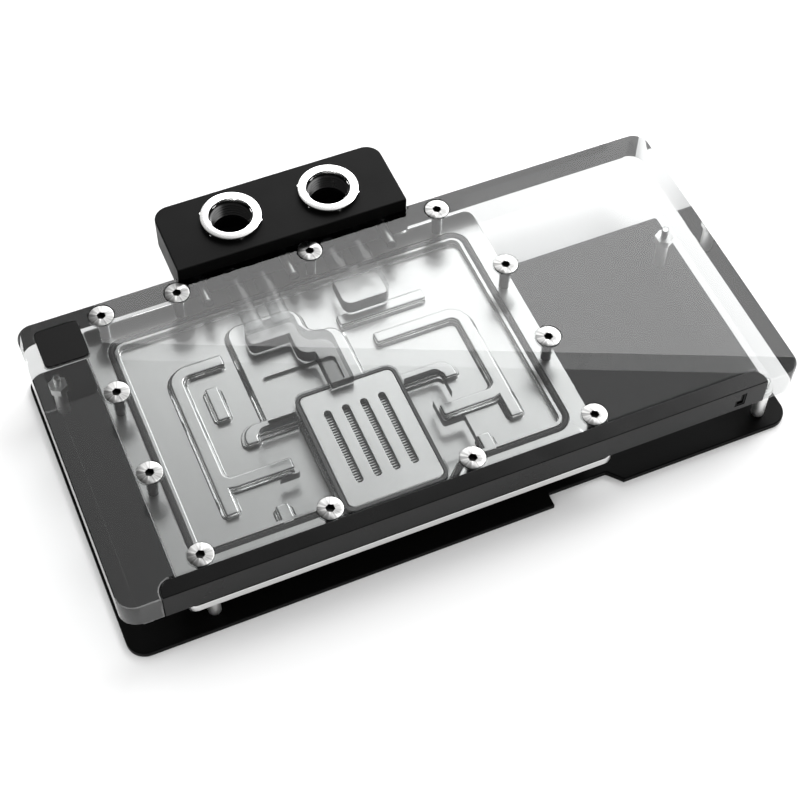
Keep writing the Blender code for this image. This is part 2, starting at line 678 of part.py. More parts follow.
def make_cold_plate():
    outline = rectangle(COLD_LEFT, 0, COLD_RIGHT, COLD_BACK, COLD_CORNER)
    plate = prism("cold_plate", outline, COLD_BOTTOM, COLD_TOP)
    cut(plate, make_chamber_tool())

    seal = seal_outline()
    groove = SEAL_DIAMETER / 2 + FIT / 2
    depth = SEAL_DIAMETER - SEAL_SQUEEZE
    outer = prism("groove_tool", offset_outline(seal, groove), COLD_TOP - depth, COLD_TOP + OVERRUN)
    inner = prism("groove_core_tool", offset_outline(seal, -groove), COLD_BOTTOM, COLD_TOP + 2 * OVERRUN)
    cut(plate, settle(cut(outer, inner)))

    recess = rectangle(PLATEAU_LEFT + RIB, JET_BACK + RECESS_GAP, GATE_RIGHT, JET_BACK + RECESS_BACK,
                       WELL_CORNER)
    cut(plate, prism("recess_tool", recess, COLD_TOP - RECESS_DEPTH, COLD_TOP + OVERRUN))

    centre_x = (JET_LEFT + JET_RIGHT) / 2
    centre_y = (JET_FRONT + JET_BACK) / 2
    low = COLD_BOTTOM - PAD_HEIGHT
    high = COLD_BOTTOM + OVERRUN / 2
    half_x = PEDESTAL_LENGTH / 2
    half_y = PEDESTAL_DEPTH / 2
    pedestal = rectangle(centre_x - half_x, centre_y - half_y, centre_x + half_x, centre_y + half_y,
                         PAD_CORNER)
    join(plate, prism("pedestal_tool", pedestal, COLD_BOTTOM - PEDESTAL_HEIGHT, high))
    left = COLD_LEFT + PAD_MARGIN
    right = COLD_RIGHT - PAD_MARGIN
    back_pad = JET_BACK + BACK_PAD_GAP
    half = BACK_PAD_LENGTH / 2
    pads = ((left, PAD_FRONT, left + PAD_LENGTH, PAD_FRONT + PAD_DEPTH),
            (right - PAD_LENGTH, PAD_FRONT, right, PAD_FRONT + PAD_DEPTH),
            (centre_x - half, back_pad, centre_x + half, back_pad + BACK_PAD_DEPTH))
    for pad in pads:
        join(plate, prism("pad_tool", rectangle(*pad, PAD_CORNER), low, high))
    foot = COLD_BOTTOM - BOSS_HEIGHT
    profile = [(BOSS_BORE, foot), (BOSS_RADIUS, foot), (BOSS_RADIUS, high), (0, high), (0, COLD_BOTTOM),
               (BOSS_BORE, COLD_BOTTOM), (BOSS_BORE, foot)]
    for side_x in (-1, 1):
        for side_y in (-1, 1):
            x = centre_x + side_x * BOSS_SPACING / 2
            y = max(centre_y + side_y * BOSS_SPACING / 2, BOSS_RADIUS + OVERRUN)
            join(plate, turned("boss_tool", profile, x, y, HOLE_SIDES))

    count = int((JET_DEPTH - 2 * FIN_END_MARGIN - FIN_SLOT) / FIN_PITCH) + 1
    first = max(centre_y - (count - 1) * FIN_PITCH / 2, CHAMBER_FRONT + FIN_SLOT)
    for index in range(count):
        y = first + index * FIN_PITCH
        if y > HOOK_Y - RIB / 2 - FIN_SLOT:
            break
        slot = rectangle(ENGINE_LEFT - FIN_SLOT, y - FIN_SLOT / 2, ENGINE_RIGHT + FIN_SLOT, y + FIN_SLOT / 2)
        cut(plate, prism("fin_slot_tool", slot, CHAMBER_FLOOR + FIT / 2, COLD_TOP + OVERRUN))

    holes = [(x, y, SHANK_DIAMETER) for x, y in SCREW_PLACES]
    holes.append((*STANDOFF_PLACES[0], STUD_DIAMETER))
    for x, y, diameter in holes:
        hole = circle(x, y, diameter + 2 * FIT, HOLE_SIDES)
        cut(plate, prism("plate_hole_tool", hole, COLD_BOTTOM - OVERRUN, COLD_TOP + OVERRUN))
    return smooth(finish(plate, "nickel"))


def make_jet_plate():
    low = TOP_BOTTOM
    high = TOP_BOTTOM + JET_THICKNESS
    plate = prism("jet_plate", rectangle(*jet_bounds(0), JET_CORNER), low, high, top_break=JET_BREAK)
    centre_x = (JET_LEFT + JET_RIGHT) / 2
    centre_y = (JET_FRONT + JET_BACK) / 2
    half = JET_SLOT_WIDTH / 2
    reach = JET_SLOT_LENGTH / 2
    for index in range(JET_SLOTS):
        x = centre_x + (index - (JET_SLOTS - 1) / 2) * JET_SLOT_PITCH
        slot = rectangle(x - half, centre_y - reach, x + half, centre_y + reach, half * 0.999)
        cut(plate, prism("jet_slot_tool", slot, low - OVERRUN, high + OVERRUN))
    return smooth(finish(plate, "nickel"))


def make_gasket():
    # Frame round the jet plate, open at the back where the coolant comes in.
    low = TOP_BOTTOM
    high = TOP_BOTTOM + JET_THICKNESS
    outer = rectangle(*jet_bounds(GASKET_WIDTH), JET_CORNER + GASKET_WIDTH)
    gasket = prism("jet_plate_gasket", outer, low, high)
    core = rectangle(*jet_bounds(FIT), JET_CORNER)
    cut(gasket, prism("gasket_core_tool", core, low - OVERRUN, high + OVERRUN))
    gate = rectangle(GATE_LEFT, JET_BACK, GATE_RIGHT, JET_BACK + 2 * GASKET_WIDTH)
    cut(gasket, prism("gasket_gate_tool", gate, low - OVERRUN, high + OVERRUN))
    return smooth(finish(gasket, "rubber"))


def make_chamber_seal():
    height = COLD_TOP - SEAL_DIAMETER / 2 + SEAL_SQUEEZE + FIT / 4
    centre = [(point.x, point.y, height) for point in seal_outline()]
    seal = closed_tube("chamber_seal", centre, SEAL_DIAMETER)
    return finish(seal, "rubber")


def screw_mesh(head, head_height, shank, length, hex_size, hex_depth):
    # Flat-headed hex socket screw standing on its tip, its head's top at height zero.
    profile = [(0, -length), (shank / 2 - EDGE_BREAK, -length), (shank / 2, EDGE_BREAK - length),
               (shank / 2, -head_height), (head / 2, -head_height), (head / 2, -EDGE_BREAK),
               (head / 2 - EDGE_BREAK, 0), (0, 0)]
    screw = turned("screw_form", profile, 0, 0, SCREW_SIDES)
    tool = prism("hex_tool", hexagon(0, 0, hex_size), -hex_depth, OVERRUN)
    settle(cut(screw, tool))
    mesh = screw.data
    bpy.data.objects.remove(screw)
    bpy.data.objects.remove(tool)
    mesh.shade_smooth()
    mesh.set_sharp_from_angle(angle=pi / 5)
    return mesh


def make_top_screws():
    length = TOP_TOP - COLD_BOTTOM - 2 * SEAT_GAP
    mesh = screw_mesh(HEAD_DIAMETER, HEAD_HEIGHT, SHANK_DIAMETER, length, HEX_SOCKET, HEX_DEPTH)
    for index, (x, y) in enumerate(SCREW_PLACES):
        screw = add_object(f"top_screw_{index + 1:02d}", mesh)
        screw.location = Vector((x, y, TOP_TOP)) - ORIGIN
        if index == 0:
            finish(screw, "steel")


def socket_outline(grow):
    # L-shaped mouth of the light bar's socket: a tall slot with a lower step to its left.
    x = BAR_END - SOCKET_MARGIN
    z = TOP_TOP - SOCKET_DROP
    left = x - SOCKET_WIDTH / 2 - grow
    right = x + SOCKET_WIDTH / 2 + grow
    bottom = z - SOCKET_HEIGHT / 2 - grow
    top = z + SOCKET_HEIGHT / 2 + grow
    step = bottom + SOCKET_STEP + 2 * grow
    return [Vector(corner) for corner in (
        (left, bottom), (right, bottom), (right, top), (x - grow, top), (x - grow, step), (left, step),
    )]


def make_light_bar():
    outline = rounded([(BAR_MARGIN, 0, 0), (BAR_END, 0, 0), (BAR_END, BAR_DEPTH, BAR_CORNER),
                       (BAR_MARGIN, BAR_DEPTH, BAR_CORNER)])
    cover = prism("light_bar_cover", outline, TOP_BOTTOM, TOP_TOP, top_break=EDGE_BREAK)
    channel = rectangle(BAR_MARGIN + BAR_END_WALL, BAR_WALL, BAR_END - BAR_END_WALL, BAR_DEPTH + OVERRUN)
    cut(cover, prism("light_channel_tool", channel, TOP_BOTTOM + BAR_WALL, TOP_TOP - BAR_WALL))
    cut(cover, upright("window_tool", socket_outline(FIT), -OVERRUN, BAR_WALL + OVERRUN))
    smooth(finish(cover, "black_plastic"))

    socket = upright("light_bar_socket", socket_outline(0), FIT, SOCKET_DEPTH)
    mouth = socket_outline(-SOCKET_WALL)
    cut(socket, upright("socket_mouth_tool", mouth, -OVERRUN, SOCKET_DEPTH - SOCKET_WALL))
    finish(socket, "black_plastic")

    start = BAR_MARGIN + BAR_END_WALL + SEAT_GAP
    end = BAR_END - SOCKET_MARGIN - SOCKET_WIDTH / 2 - 2 * SEAT_GAP
    middle = (TOP_BOTTOM + TOP_TOP) / 2
    near = BAR_WALL + SEAT_GAP
    strip = prism("light_strip", rectangle(start, near, end, near + STRIP_THICKNESS),
                  middle - STRIP_HEIGHT / 2, middle + STRIP_HEIGHT / 2)
    step = (end - start) / LAMP_COUNT
    for index in range(LAMP_COUNT):
        lamp_x = start + (index + 0.5) * step
        lamp = rectangle(lamp_x - LAMP_WIDTH / 2, near + STRIP_THICKNESS / 2,
                         lamp_x + LAMP_WIDTH / 2, near + STRIP_THICKNESS + LAMP_DEPTH)
        join(strip, prism("lamp_tool", lamp, middle - LAMP_HEIGHT / 2, middle + LAMP_HEIGHT / 2))
    finish(strip, "circuit")


def make_terminal_block():
    right = TERMINAL_LEFT + TERMINAL_LENGTH
    outline = rounded([
        (TERMINAL_LEFT, TERMINAL_FRONT, 0), (right, TERMINAL_FRONT, 0),
        (right, TERMINAL_BACK, TERMINAL_CORNER), (TERMINAL_LEFT, TERMINAL_BACK, TERMINAL_CORNER),
    ])
    block = prism("terminal_block", outline, BLOCK_BOTTOM, BLOCK_TOP, EDGE_BREAK, EDGE_BREAK)
    flange = rectangle(TERMINAL_LEFT + FLANGE_INSET, TERMINAL_FRONT, right - FLANGE_INSET,
                       TERMINAL_FRONT + FLANGE_DEPTH)
    join(block, prism("flange_tool", flange, TOP_BOTTOM, TOP_TOP))

    passage_z = DUCT_Z + (DUCT_BORE - PASSAGE_HEIGHT) / 2 - FIT
    passage_low = passage_z - PASSAGE_HEIGHT / 2
    for (x, y), centre in zip(PORT_PLACES, DUCT_PLACES):
        barrel = PORT_BARREL / 2 + SEAT_GAP
        bore = PORT_BORE / 2
        floor = BLOCK_TOP - PORT_BARREL_LENGTH - SEAT_GAP
        profile = [(0, passage_low), (bore, passage_low), (bore, floor), (barrel, floor),
                   (barrel, BLOCK_TOP + OVERRUN), (0, BLOCK_TOP + OVERRUN)]
        cut(block, turned("port_well_tool", profile, x, y, PORT_SIDES))
        passage = slot_outline(centre, passage_z, DUCT_PITCH, PASSAGE_HEIGHT / 2)
        cut(block, upright("passage_tool", passage, TERMINAL_FRONT - OVERRUN, y))

        middle = DUCT_BORE / 2 + PORT_SEAL_MARGIN
        half = PORT_SEAL_DIAMETER / 2 + FIT / 2
        depth = TERMINAL_FRONT + PORT_SEAL_DIAMETER + FIT - SEAT_GAP
        ring = upright("port_groove_tool", slot_outline(centre, DUCT_Z, DUCT_PITCH, middle + half),
                       TERMINAL_FRONT - OVERRUN, depth)
        core = upright("port_groove_core_tool", slot_outline(centre, DUCT_Z, DUCT_PITCH, middle - half),
                       TERMINAL_FRONT - 2 * OVERRUN, depth + OVERRUN)
        cut(block, settle(cut(ring, core)))

    for x in CLAMP_PLACES:
        hole = circle(x, CLAMP_Z, CLAMP_DIAMETER + 2 * FIT, HOLE_SIDES)
        cut(block, upright("clamp_hole_tool", hole, TERMINAL_FRONT - OVERRUN, TERMINAL_BACK + OVERRUN))
        seat = circle(x, CLAMP_Z, CLAMP_HEAD + 2 * SEAT_GAP, SCREW_SIDES)
        cut(block, upright("clamp_seat_tool", seat, TERMINAL_BACK - CLAMP_HEAD_HEIGHT - SEAT_GAP,
                           TERMINAL_BACK + OVERRUN))
    return smooth(finish(block, "black_plastic"))


def make_port_seals():
    for name, centre in zip(("inlet_seal", "outlet_seal"), DUCT_PLACES):
        radius = DUCT_BORE / 2 + PORT_SEAL_MARGIN
        y = TERMINAL_FRONT - SEAT_GAP + FIT / 2 + PORT_SEAL_DIAMETER / 2
        outline = slot_outline(centre, DUCT_Z, DUCT_PITCH, radius)
        finish(closed_tube(name, [(point.x, y, point.y) for point in outline], PORT_SEAL_DIAMETER), "rubber")


def make_port_sleeves():
    # Flanged threaded sleeves with a hexagon under the flange.
    hex_low = BLOCK_TOP + SEAT_GAP
    hex_high = hex_low + PORT_HEX_HEIGHT
    flange_top = hex_high + PORT_FLANGE_HEIGHT
    for name, (x, y) in zip(("inlet_port", "outlet_port"), PORT_PLACES):
        barrel = PORT_BARREL / 2
        bore = PORT_BORE / 2
        flange = PORT_FLANGE / 2
        bottom = BLOCK_TOP - PORT_BARREL_LENGTH
        lead = (PORT_BARREL - PORT_BORE) / 4
        profile = [(bore, bottom), (barrel, bottom), (barrel, (hex_low + hex_high) / 2), (barrel, hex_high),
                   (flange, hex_high), (flange, flange_top - EDGE_BREAK), (flange - EDGE_BREAK, flange_top),
                   (bore + lead, flange_top), (bore, flange_top - lead), (bore, bottom)]
        sleeve = turned(name, profile, x, y, PORT_SIDES)
        collar = prism("port_hex_tool", hexagon(x, y, PORT_HEX), hex_low, hex_high + PORT_FLANGE_HEIGHT / 2)
        core = prism("port_core_tool", circle(x, y, PORT_BARREL - OVERRUN, PORT_SIDES),
                     hex_low - OVERRUN, flange_top + OVERRUN)
        join(sleeve, settle(cut(collar, core)))
        smooth(finish(sleeve, "nickel"))


def make_clamp_screws():
    length = TERMINAL_DEPTH + CLAMP_REACH - SEAT_GAP
    mesh = screw_mesh(CLAMP_HEAD, CLAMP_HEAD_HEIGHT, CLAMP_DIAMETER, length, HEX_SOCKET, HEX_DEPTH)
    mesh.transform(Matrix.Rotation(-pi / 2, 4, "X"))
    for index, x in enumerate(CLAMP_PLACES):
        screw = add_object(f"terminal_screw_{index + 1}", mesh)
        screw.location = Vector((x, TERMINAL_BACK, CLAMP_Z)) - ORIGIN
        if index == 0:
            finish(screw, "steel")


def make_badge():
    half = BADGE_SIZE / 2
    x, y = BADGE_CENTRE
    outline = rectangle(x - half, y - half, x + half, y + half, BADGE_CORNER - FIT)
    badge = prism("badge_plate", outline, TOP_TOP - BADGE_THICKNESS, TOP_TOP)
    return finish(badge, "black_metal")


def make_backplate():
    front = -BACKPLATE_OVERHANG
    right = TOP_LENGTH - FIT
    notch_end = NOTCH_START + NOTCH_LENGTH
    back = TOP_DEPTH - BACKPLATE_BACK_MARGIN
    tail = TOP_DEPTH - BACKPLATE_TAIL_MARGIN
    outline = rounded([
        (0, front, BACKPLATE_CORNER), (NOTCH_START, front, 0),
        (NOTCH_START, front + NOTCH_DEPTH, NOTCH_CORNER), (notch_end, front + NOTCH_DEPTH, NOTCH_CORNER),
        (notch_end + NOTCH_SLANT, front, 0),
        (right, front, BACKPLATE_CORNER), (right, back, NOTCH_CORNER),
        (BACKPLATE_TAIL_WIDTH, back, NOTCH_CORNER), (BACKPLATE_TAIL_WIDTH, tail, NOTCH_CORNER),
        (0, tail, TOP_CORNER),
    ])
    plate = prism("backplate", outline, 0, BACKPLATE_TOP, top_break=EDGE_BREAK)
    head = FOOT_SCREW_HEAD / 2 + FIT
    shank = STUD_DIAMETER / 2 + FIT
    seat = FOOT_SCREW_HEAD_HEIGHT + SEAT_GAP + FIT
    high = BACKPLATE_TOP + OVERRUN
    profile = [(0, -OVERRUN), (head, -OVERRUN), (head, seat), (shank, seat), (shank, high), (0, high)]
    for x, y in STANDOFF_PLACES:
        cut(plate, turned("foot_hole_tool", profile, x, y, HOLE_SIDES))
    return smooth(finish(plate, "black_metal"))


def make_standoffs():
    foot_mesh = screw_mesh(FOOT_SCREW_HEAD, FOOT_SCREW_HEAD_HEIGHT, STUD_DIAMETER, FOOT_SCREW_LENGTH,
                           FOOT_SCREW_HEAD / 3, FOOT_SCREW_HEAD_HEIGHT / 2)
    foot_mesh.transform(Matrix.Rotation(pi, 4, "X"))
    for index, (x, y) in enumerate(STANDOFF_PLACES):
        carrier = COLD_BOTTOM if index == 0 else TOP_BOTTOM
        low = BACKPLATE_TOP + SEAT_GAP
        high = carrier - SEAT_GAP
        post = STANDOFF_DIAMETER / 2
        stud = STUD_DIAMETER / 2
        bore = stud + FIT
        bore_top = FIT + FOOT_SCREW_LENGTH + SEAT_GAP
        collar = STANDOFF_COLLAR / 2
        shoulder = high - STANDOFF_COLLAR_HEIGHT
        tip = carrier + STUD_LENGTH
        profile = [(0, bore_top), (bore, bore_top), (bore, low), (post, low), (post, shoulder),
                   (collar, shoulder), (collar, high), (stud, high), (stud, tip), (0, tip)]
        standoff = turned(f"standoff_{index + 1}", profile, x, y, HOLE_SIDES)
        if index > 1:
            nut = prism("nut_tool", hexagon(x, y, STANDOFF_HEX), high - STANDOFF_HEX_HEIGHT, high)
            join(standoff, nut)
        smooth(finish(standoff, "steel"))
        screw = add_object(f"backplate_screw_{index + 1}", foot_mesh)
        screw.location = Vector((x, y, FIT)) - ORIGIN
        if index == 0:
            finish(screw, "steel")


clear_scene()
make_clear_top()
make_cold_plate()
make_jet_plate()
make_gasket()
make_chamber_seal()
make_top_screws()
make_light_bar()
make_terminal_block()
make_port_seals()
make_port_sleeves()
make_clamp_screws()
make_badge()
make_backplate()
make_standoffs()
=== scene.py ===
from math import cos, pi, radians, sin, sqrt, tan

import bmesh
import bpy
from mathutils import Euler, Matrix, Vector


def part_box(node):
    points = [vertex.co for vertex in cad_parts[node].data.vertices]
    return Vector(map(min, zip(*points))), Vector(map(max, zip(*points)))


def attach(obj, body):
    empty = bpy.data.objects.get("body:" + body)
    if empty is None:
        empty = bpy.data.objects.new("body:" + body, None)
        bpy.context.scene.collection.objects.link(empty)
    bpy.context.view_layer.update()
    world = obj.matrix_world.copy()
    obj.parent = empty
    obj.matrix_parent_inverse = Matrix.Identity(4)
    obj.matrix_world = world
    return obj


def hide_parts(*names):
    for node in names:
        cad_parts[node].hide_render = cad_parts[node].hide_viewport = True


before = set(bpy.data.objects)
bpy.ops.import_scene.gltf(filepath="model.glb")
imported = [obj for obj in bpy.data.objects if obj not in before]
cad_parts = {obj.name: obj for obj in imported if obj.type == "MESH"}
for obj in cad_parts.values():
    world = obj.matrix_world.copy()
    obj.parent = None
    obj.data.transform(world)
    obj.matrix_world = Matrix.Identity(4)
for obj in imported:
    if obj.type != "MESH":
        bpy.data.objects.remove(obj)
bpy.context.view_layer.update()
print("frame loaded:", len(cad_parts), "nodes")


# Heights and places taken from the frame

def low(node):
    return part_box(node)[0]


def high(node):
    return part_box(node)[1]


def nodesOf(kind):
    return sorted(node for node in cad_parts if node.startswith(kind))


corner = Vector(low("clear_top"))       # front left corner of the clear top, on its underside
topFace = high("clear_top")[2]
underside = corner.z
plateFace = high("chamber_seal")[2] - 0.00035    # the seal stands a little proud of the cold plate
studLength = 0.0028                     # the standoffs' studs start at the cold plate's underside
plateUnder = high("standoff_1")[2] - studLength
past = 0.001                            # how far a cutting tool reaches past what it cuts
topScrewNodes = nodesOf("top_screw")
clampNodes = nodesOf("terminal_screw")


def plan(x, y):
    # A place on the drawing, measured from the clear top's front left corner.
    return corner.x + x, corner.y + y


def centreOf(node):
    lower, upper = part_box(node)
    return (lower[0] + upper[0]) / 2 - corner.x, (lower[1] + upper[1]) / 2 - corner.y


# Small helpers for materials

def newMaterial(name):
    material = bpy.data.materials.new(name)
    material.use_nodes = True
    tree = material.node_tree
    return material, tree, tree.nodes["Principled BSDF"]


def addNode(tree, kind, **values):
    node = tree.nodes.new(kind)
    for key, value in values.items():
        setattr(node, key, value)
    return node


def link(tree, output, socket):
    tree.links.new(output, socket)


def noiseFrom(tree, coordinates, scale, detail=3.0, roughness=0.5):
    noise = addNode(tree, "ShaderNodeTexNoise")
    noise.inputs["Scale"].default_value = scale
    noise.inputs["Detail"].default_value = detail
    noise.inputs["Roughness"].default_value = roughness
    link(tree, coordinates, noise.inputs["Vector"])
    return noise.outputs["Fac"]


def spread(tree, value, toLow, toHigh, fromLow=0.3, fromHigh=0.7):
    mapped = addNode(tree, "ShaderNodeMapRange")
    for name, number in (("From Min", fromLow), ("From Max", fromHigh), ("To Min", toLow), ("To Max", toHigh)):
        mapped.inputs[name].default_value = number
    link(tree, value, mapped.inputs["Value"])
    return mapped.outputs["Result"]


def calculated(tree, operation, value, factor=None):
    node = addNode(tree, "ShaderNodeMath", operation=operation)
    link(tree, value, node.inputs[0])
    if factor is not None:
        node.inputs[1].default_value = factor
    return node.outputs["Value"]


def addBump(tree, shader, height, strength, distance):
    bump = addNode(tree, "ShaderNodeBump")
    bump.inputs["Strength"].default_value = strength
    bump.inputs["Distance"].default_value = distance
    link(tree, height, bump.inputs["Height"])
    link(tree, bump.outputs["Normal"], shader.inputs["Normal"])


def mixSurface(tree, share, first, second):
    # Two shaders mixed by the share, a number or a socket, as the material's surface.
    mix = addNode(tree, "ShaderNodeMixShader")
    if isinstance(share, float):
        mix.inputs["Fac"].default_value = share
    else:
        link(tree, share, mix.inputs["Fac"])
    link(tree, first.outputs["BSDF"], mix.inputs[1])
    link(tree, second.outputs["BSDF"], mix.inputs[2])
    link(tree, mix.outputs["Shader"], tree.nodes["Material Output"].inputs["Surface"])


def objectPoint(tree):
    return addNode(tree, "ShaderNodeTexCoord").outputs["Object"]


# Materials

# The tint is partly the acrylic's own colour and partly painted shade: it darkens everything seen through the top,
# in place of the shaded floor beneath the block.
clearLook = {"tintAndShade": (0.80, 0.805, 0.805), "ior": 1.49}


def reflectShare(tree, ior):
    # Share of light that a clear face throws back, alike from outside and from within.
    facing = addNode(tree, "ShaderNodeNewGeometry").outputs["Backfacing"]
    index = spread(tree, facing, ior, 1 / ior, 0.0, 1.0)
    fresnel = addNode(tree, "ShaderNodeFresnel")
    link(tree, index, fresnel.inputs["IOR"])
    return fresnel.outputs["Fac"], facing


def makeClear(name, inner=None, outer=None, mirror=1.0, blur=0.0, dimming=1.0):
    # Clear acrylic. Light goes straight on; inner and outer set how much of it a milled wall throws back.
    material, tree, shader = newMaterial(name)
    tree.nodes.remove(shader)
    through = addNode(tree, "ShaderNodeBsdfTransparent")
    through.inputs["Color"].default_value = [part * dimming for part in clearLook["tintAndShade"]] + [1.0]
    back = addNode(tree, "ShaderNodeBsdfGlossy")
    back.inputs["Roughness"].default_value = blur
    # A mirror below 1 dims what the wall throws back: painted shade on the wall.
    back.inputs["Color"].default_value = (mirror, mirror, mirror, 1.0)
    share, facing = reflectShare(tree, clearLook["ior"])
    if inner is not None:
        walls = addNode(tree, "ShaderNodeMapRange")
        walls.inputs["To Max"].default_value = inner
        link(tree, facing, walls.inputs["Value"])
        if outer is None:
            link(tree, share, walls.inputs["To Min"])
        else:
            walls.inputs["To Min"].default_value = outer
        share = walls.outputs["Result"]
    mixSurface(tree, share, through, back)
    return material


edgeLook = {"color": (0.70, 0.70, 0.70, 1.0), "roughness": 0.30, "share": 0.22}


def makeEdge():
    # Broken edges of the acrylic, which catch light all along.
    material, tree, shader = newMaterial("acrylicEdge")
    shader.inputs["Base Color"].default_value = edgeLook["color"]
    shader.inputs["Roughness"].default_value = edgeLook["roughness"]
    mixSurface(tree, edgeLook["share"], addNode(tree, "ShaderNodeBsdfTransparent"), shader)
    return material


nickelLook = {"color": (0.73, 0.73, 0.725, 1.0), "roughness": (0.28, 0.31), "cloud": 70.0}
# Fillets take a brighter, glossier copy of the nickel: the lower roughness is real, the brighter colour is a
# painted highlight along the rib edges.
filletHighlightLook = {"color": (0.86, 0.86, 0.855, 1.0), "roughness": (0.04, 0.07), "cloud": 70.0}
jetLook = {"color": (0.80, 0.80, 0.795, 1.0), "roughness": (0.30, 0.36), "cloud": 90.0,
           "bump": 0.05, "grain": 2400.0}
# Dark copy of the port nickel for the thread inside the bore: painted shade in the hole.
threadShadeLook = {"color": (0.22, 0.22, 0.22, 1.0), "roughness": (0.22, 0.28), "cloud": 60.0,
              "bump": 0.02, "grain": 1400.0}
# Dark copy of the screw steel for the hex sockets and, on the top screws, the head sides and shafts: painted shade.
shaftShadeLook = {"color": (0.09, 0.09, 0.09, 1.0), "roughness": (0.30, 0.36), "cloud": 60.0,
             "bump": 0.02, "grain": 1400.0}
portLook = {"color": (0.90, 0.90, 0.89, 1.0), "roughness": (0.16, 0.20), "cloud": 60.0,
            "bump": 0.02, "grain": 1400.0}
standoffLook = {"color": (0.90, 0.90, 0.89, 1.0), "roughness": (0.40, 0.48), "cloud": 200.0,
                "bump": 0.05, "grain": 1800.0}
grainDepth = {"metal": 0.00002, "black": 0.00005}


def makeMetal(name, look):
    material, tree, shader = newMaterial(name)
    point = objectPoint(tree)
    shader.inputs["Base Color"].default_value = look["color"]
    shader.inputs["Metallic"].default_value = 1.0
    link(tree, spread(tree, noiseFrom(tree, point, look["cloud"]), *look["roughness"]), shader.inputs["Roughness"])
    if "grain" in look:
        addBump(tree, shader, noiseFrom(tree, point, look["grain"], 2.0), look["bump"], grainDepth["metal"])
    return material


# dull and bright are the painted shade and painted highlight of the star on the heads.
turnedLook = {"dull": (0.24, 0.24, 0.24, 1.0), "bright": (0.66, 0.66, 0.65, 1.0), "starSectorScale": 2.6,
              "roughness": 0.34, "anisotropy": 1.0, "rings": 5200.0, "ringStrength": 0.3, "ringDepth": 0.000004}


def makeTurned():
    # Lathe-turned heads: fine rings round each head's own centre, which its UV map gives. Light and dark sectors
    # round that centre are painted into the colour: a painted star highlight.
    material, tree, shader = newMaterial("turnedSteel")
    shader.inputs["Metallic"].default_value = 1.0
    shader.inputs["Roughness"].default_value = turnedLook["roughness"]
    shader.inputs["Anisotropic"].default_value = turnedLook["anisotropy"]
    spot = addNode(tree, "ShaderNodeUVMap", uv_map="headPlan").outputs["UV"]
    parts = addNode(tree, "ShaderNodeSeparateXYZ")
    link(tree, spot, parts.inputs["Vector"])
    along = addNode(tree, "ShaderNodeCombineXYZ")       # square to the line from the centre
    link(tree, calculated(tree, "MULTIPLY", parts.outputs["Y"], -1.0), along.inputs["X"])
    link(tree, parts.outputs["X"], along.inputs["Y"])
    link(tree, along.outputs["Vector"], shader.inputs["Tangent"])
    ray = addNode(tree, "ShaderNodeVectorMath", operation="NORMALIZE")
    link(tree, spot, ray.inputs[0])
    # Painted star highlight: the colour moves between dull and bright with the direction from the head's centre.
    paintedStar = spread(tree, noiseFrom(tree, ray.outputs["Vector"], turnedLook["starSectorScale"], 4.0, 0.65), 0.0, 1.0,
                    0.36, 0.62)
    tone = addNode(tree, "ShaderNodeMix", data_type="RGBA")
    link(tree, paintedStar, tone.inputs["Factor"])
    tone.inputs["A"].default_value = turnedLook["dull"]
    tone.inputs["B"].default_value = turnedLook["bright"]
    link(tree, tone.outputs["Result"], shader.inputs["Base Color"])
    away = addNode(tree, "ShaderNodeVectorMath", operation="LENGTH")
    link(tree, spot, away.inputs[0])
    turns = calculated(tree, "MULTIPLY", away.outputs["Value"], turnedLook["rings"])
    addBump(tree, shader, calculated(tree, "SINE", turns), turnedLook["ringStrength"], turnedLook["ringDepth"])
    return material


acetalLook = {"color": (0.003, 0.003, 0.003, 1.0), "specular": 0.07, "roughness": (0.42, 0.50),
              "grain": 2600.0, "bump": 0.12}
barLook = {"color": (0.001, 0.001, 0.001, 1.0), "specular": 0.17, "roughness": (0.22, 0.28),
           "grain": 2800.0, "bump": 0.12}
anodisedLook = {"color": (0.002, 0.002, 0.002, 1.0), "specular": 0.045, "roughness": (0.34, 0.40),
                "grain": 4200.0, "bump": 0.16}
badgeLook = {"color": (0.006, 0.006, 0.006, 1.0), "specular": 0.10, "roughness": (0.40, 0.46),
             "grain": 3600.0, "bump": 0.10}
rubberLook = {"color": (0.022, 0.022, 0.022, 1.0), "specular": 0.22, "roughness": (0.40, 0.50),
              "grain": 3000.0, "bump": 0.08}
gasketLook = {"color": (0.10, 0.10, 0.10, 1.0), "specular": 0.20, "roughness": (0.50, 0.60),
              "grain": 3000.0, "bump": 0.10}
boardLook = {"color": (0.03, 0.06, 0.04, 1.0), "specular": 0.40, "roughness": (0.35, 0.45),
             "grain": 1500.0, "bump": 0.05}


def makeBlack(name, look):
    material, tree, shader = newMaterial(name)
    point = objectPoint(tree)
    shader.inputs["Base Color"].default_value = look["color"]
    shader.inputs["Specular IOR Level"].default_value = look["specular"]
    link(tree, spread(tree, noiseFrom(tree, point, 90.0), *look["roughness"]), shader.inputs["Roughness"])
    addBump(tree, shader, noiseFrom(tree, point, look["grain"], 2.0), look["bump"], grainDepth["black"])
    return material


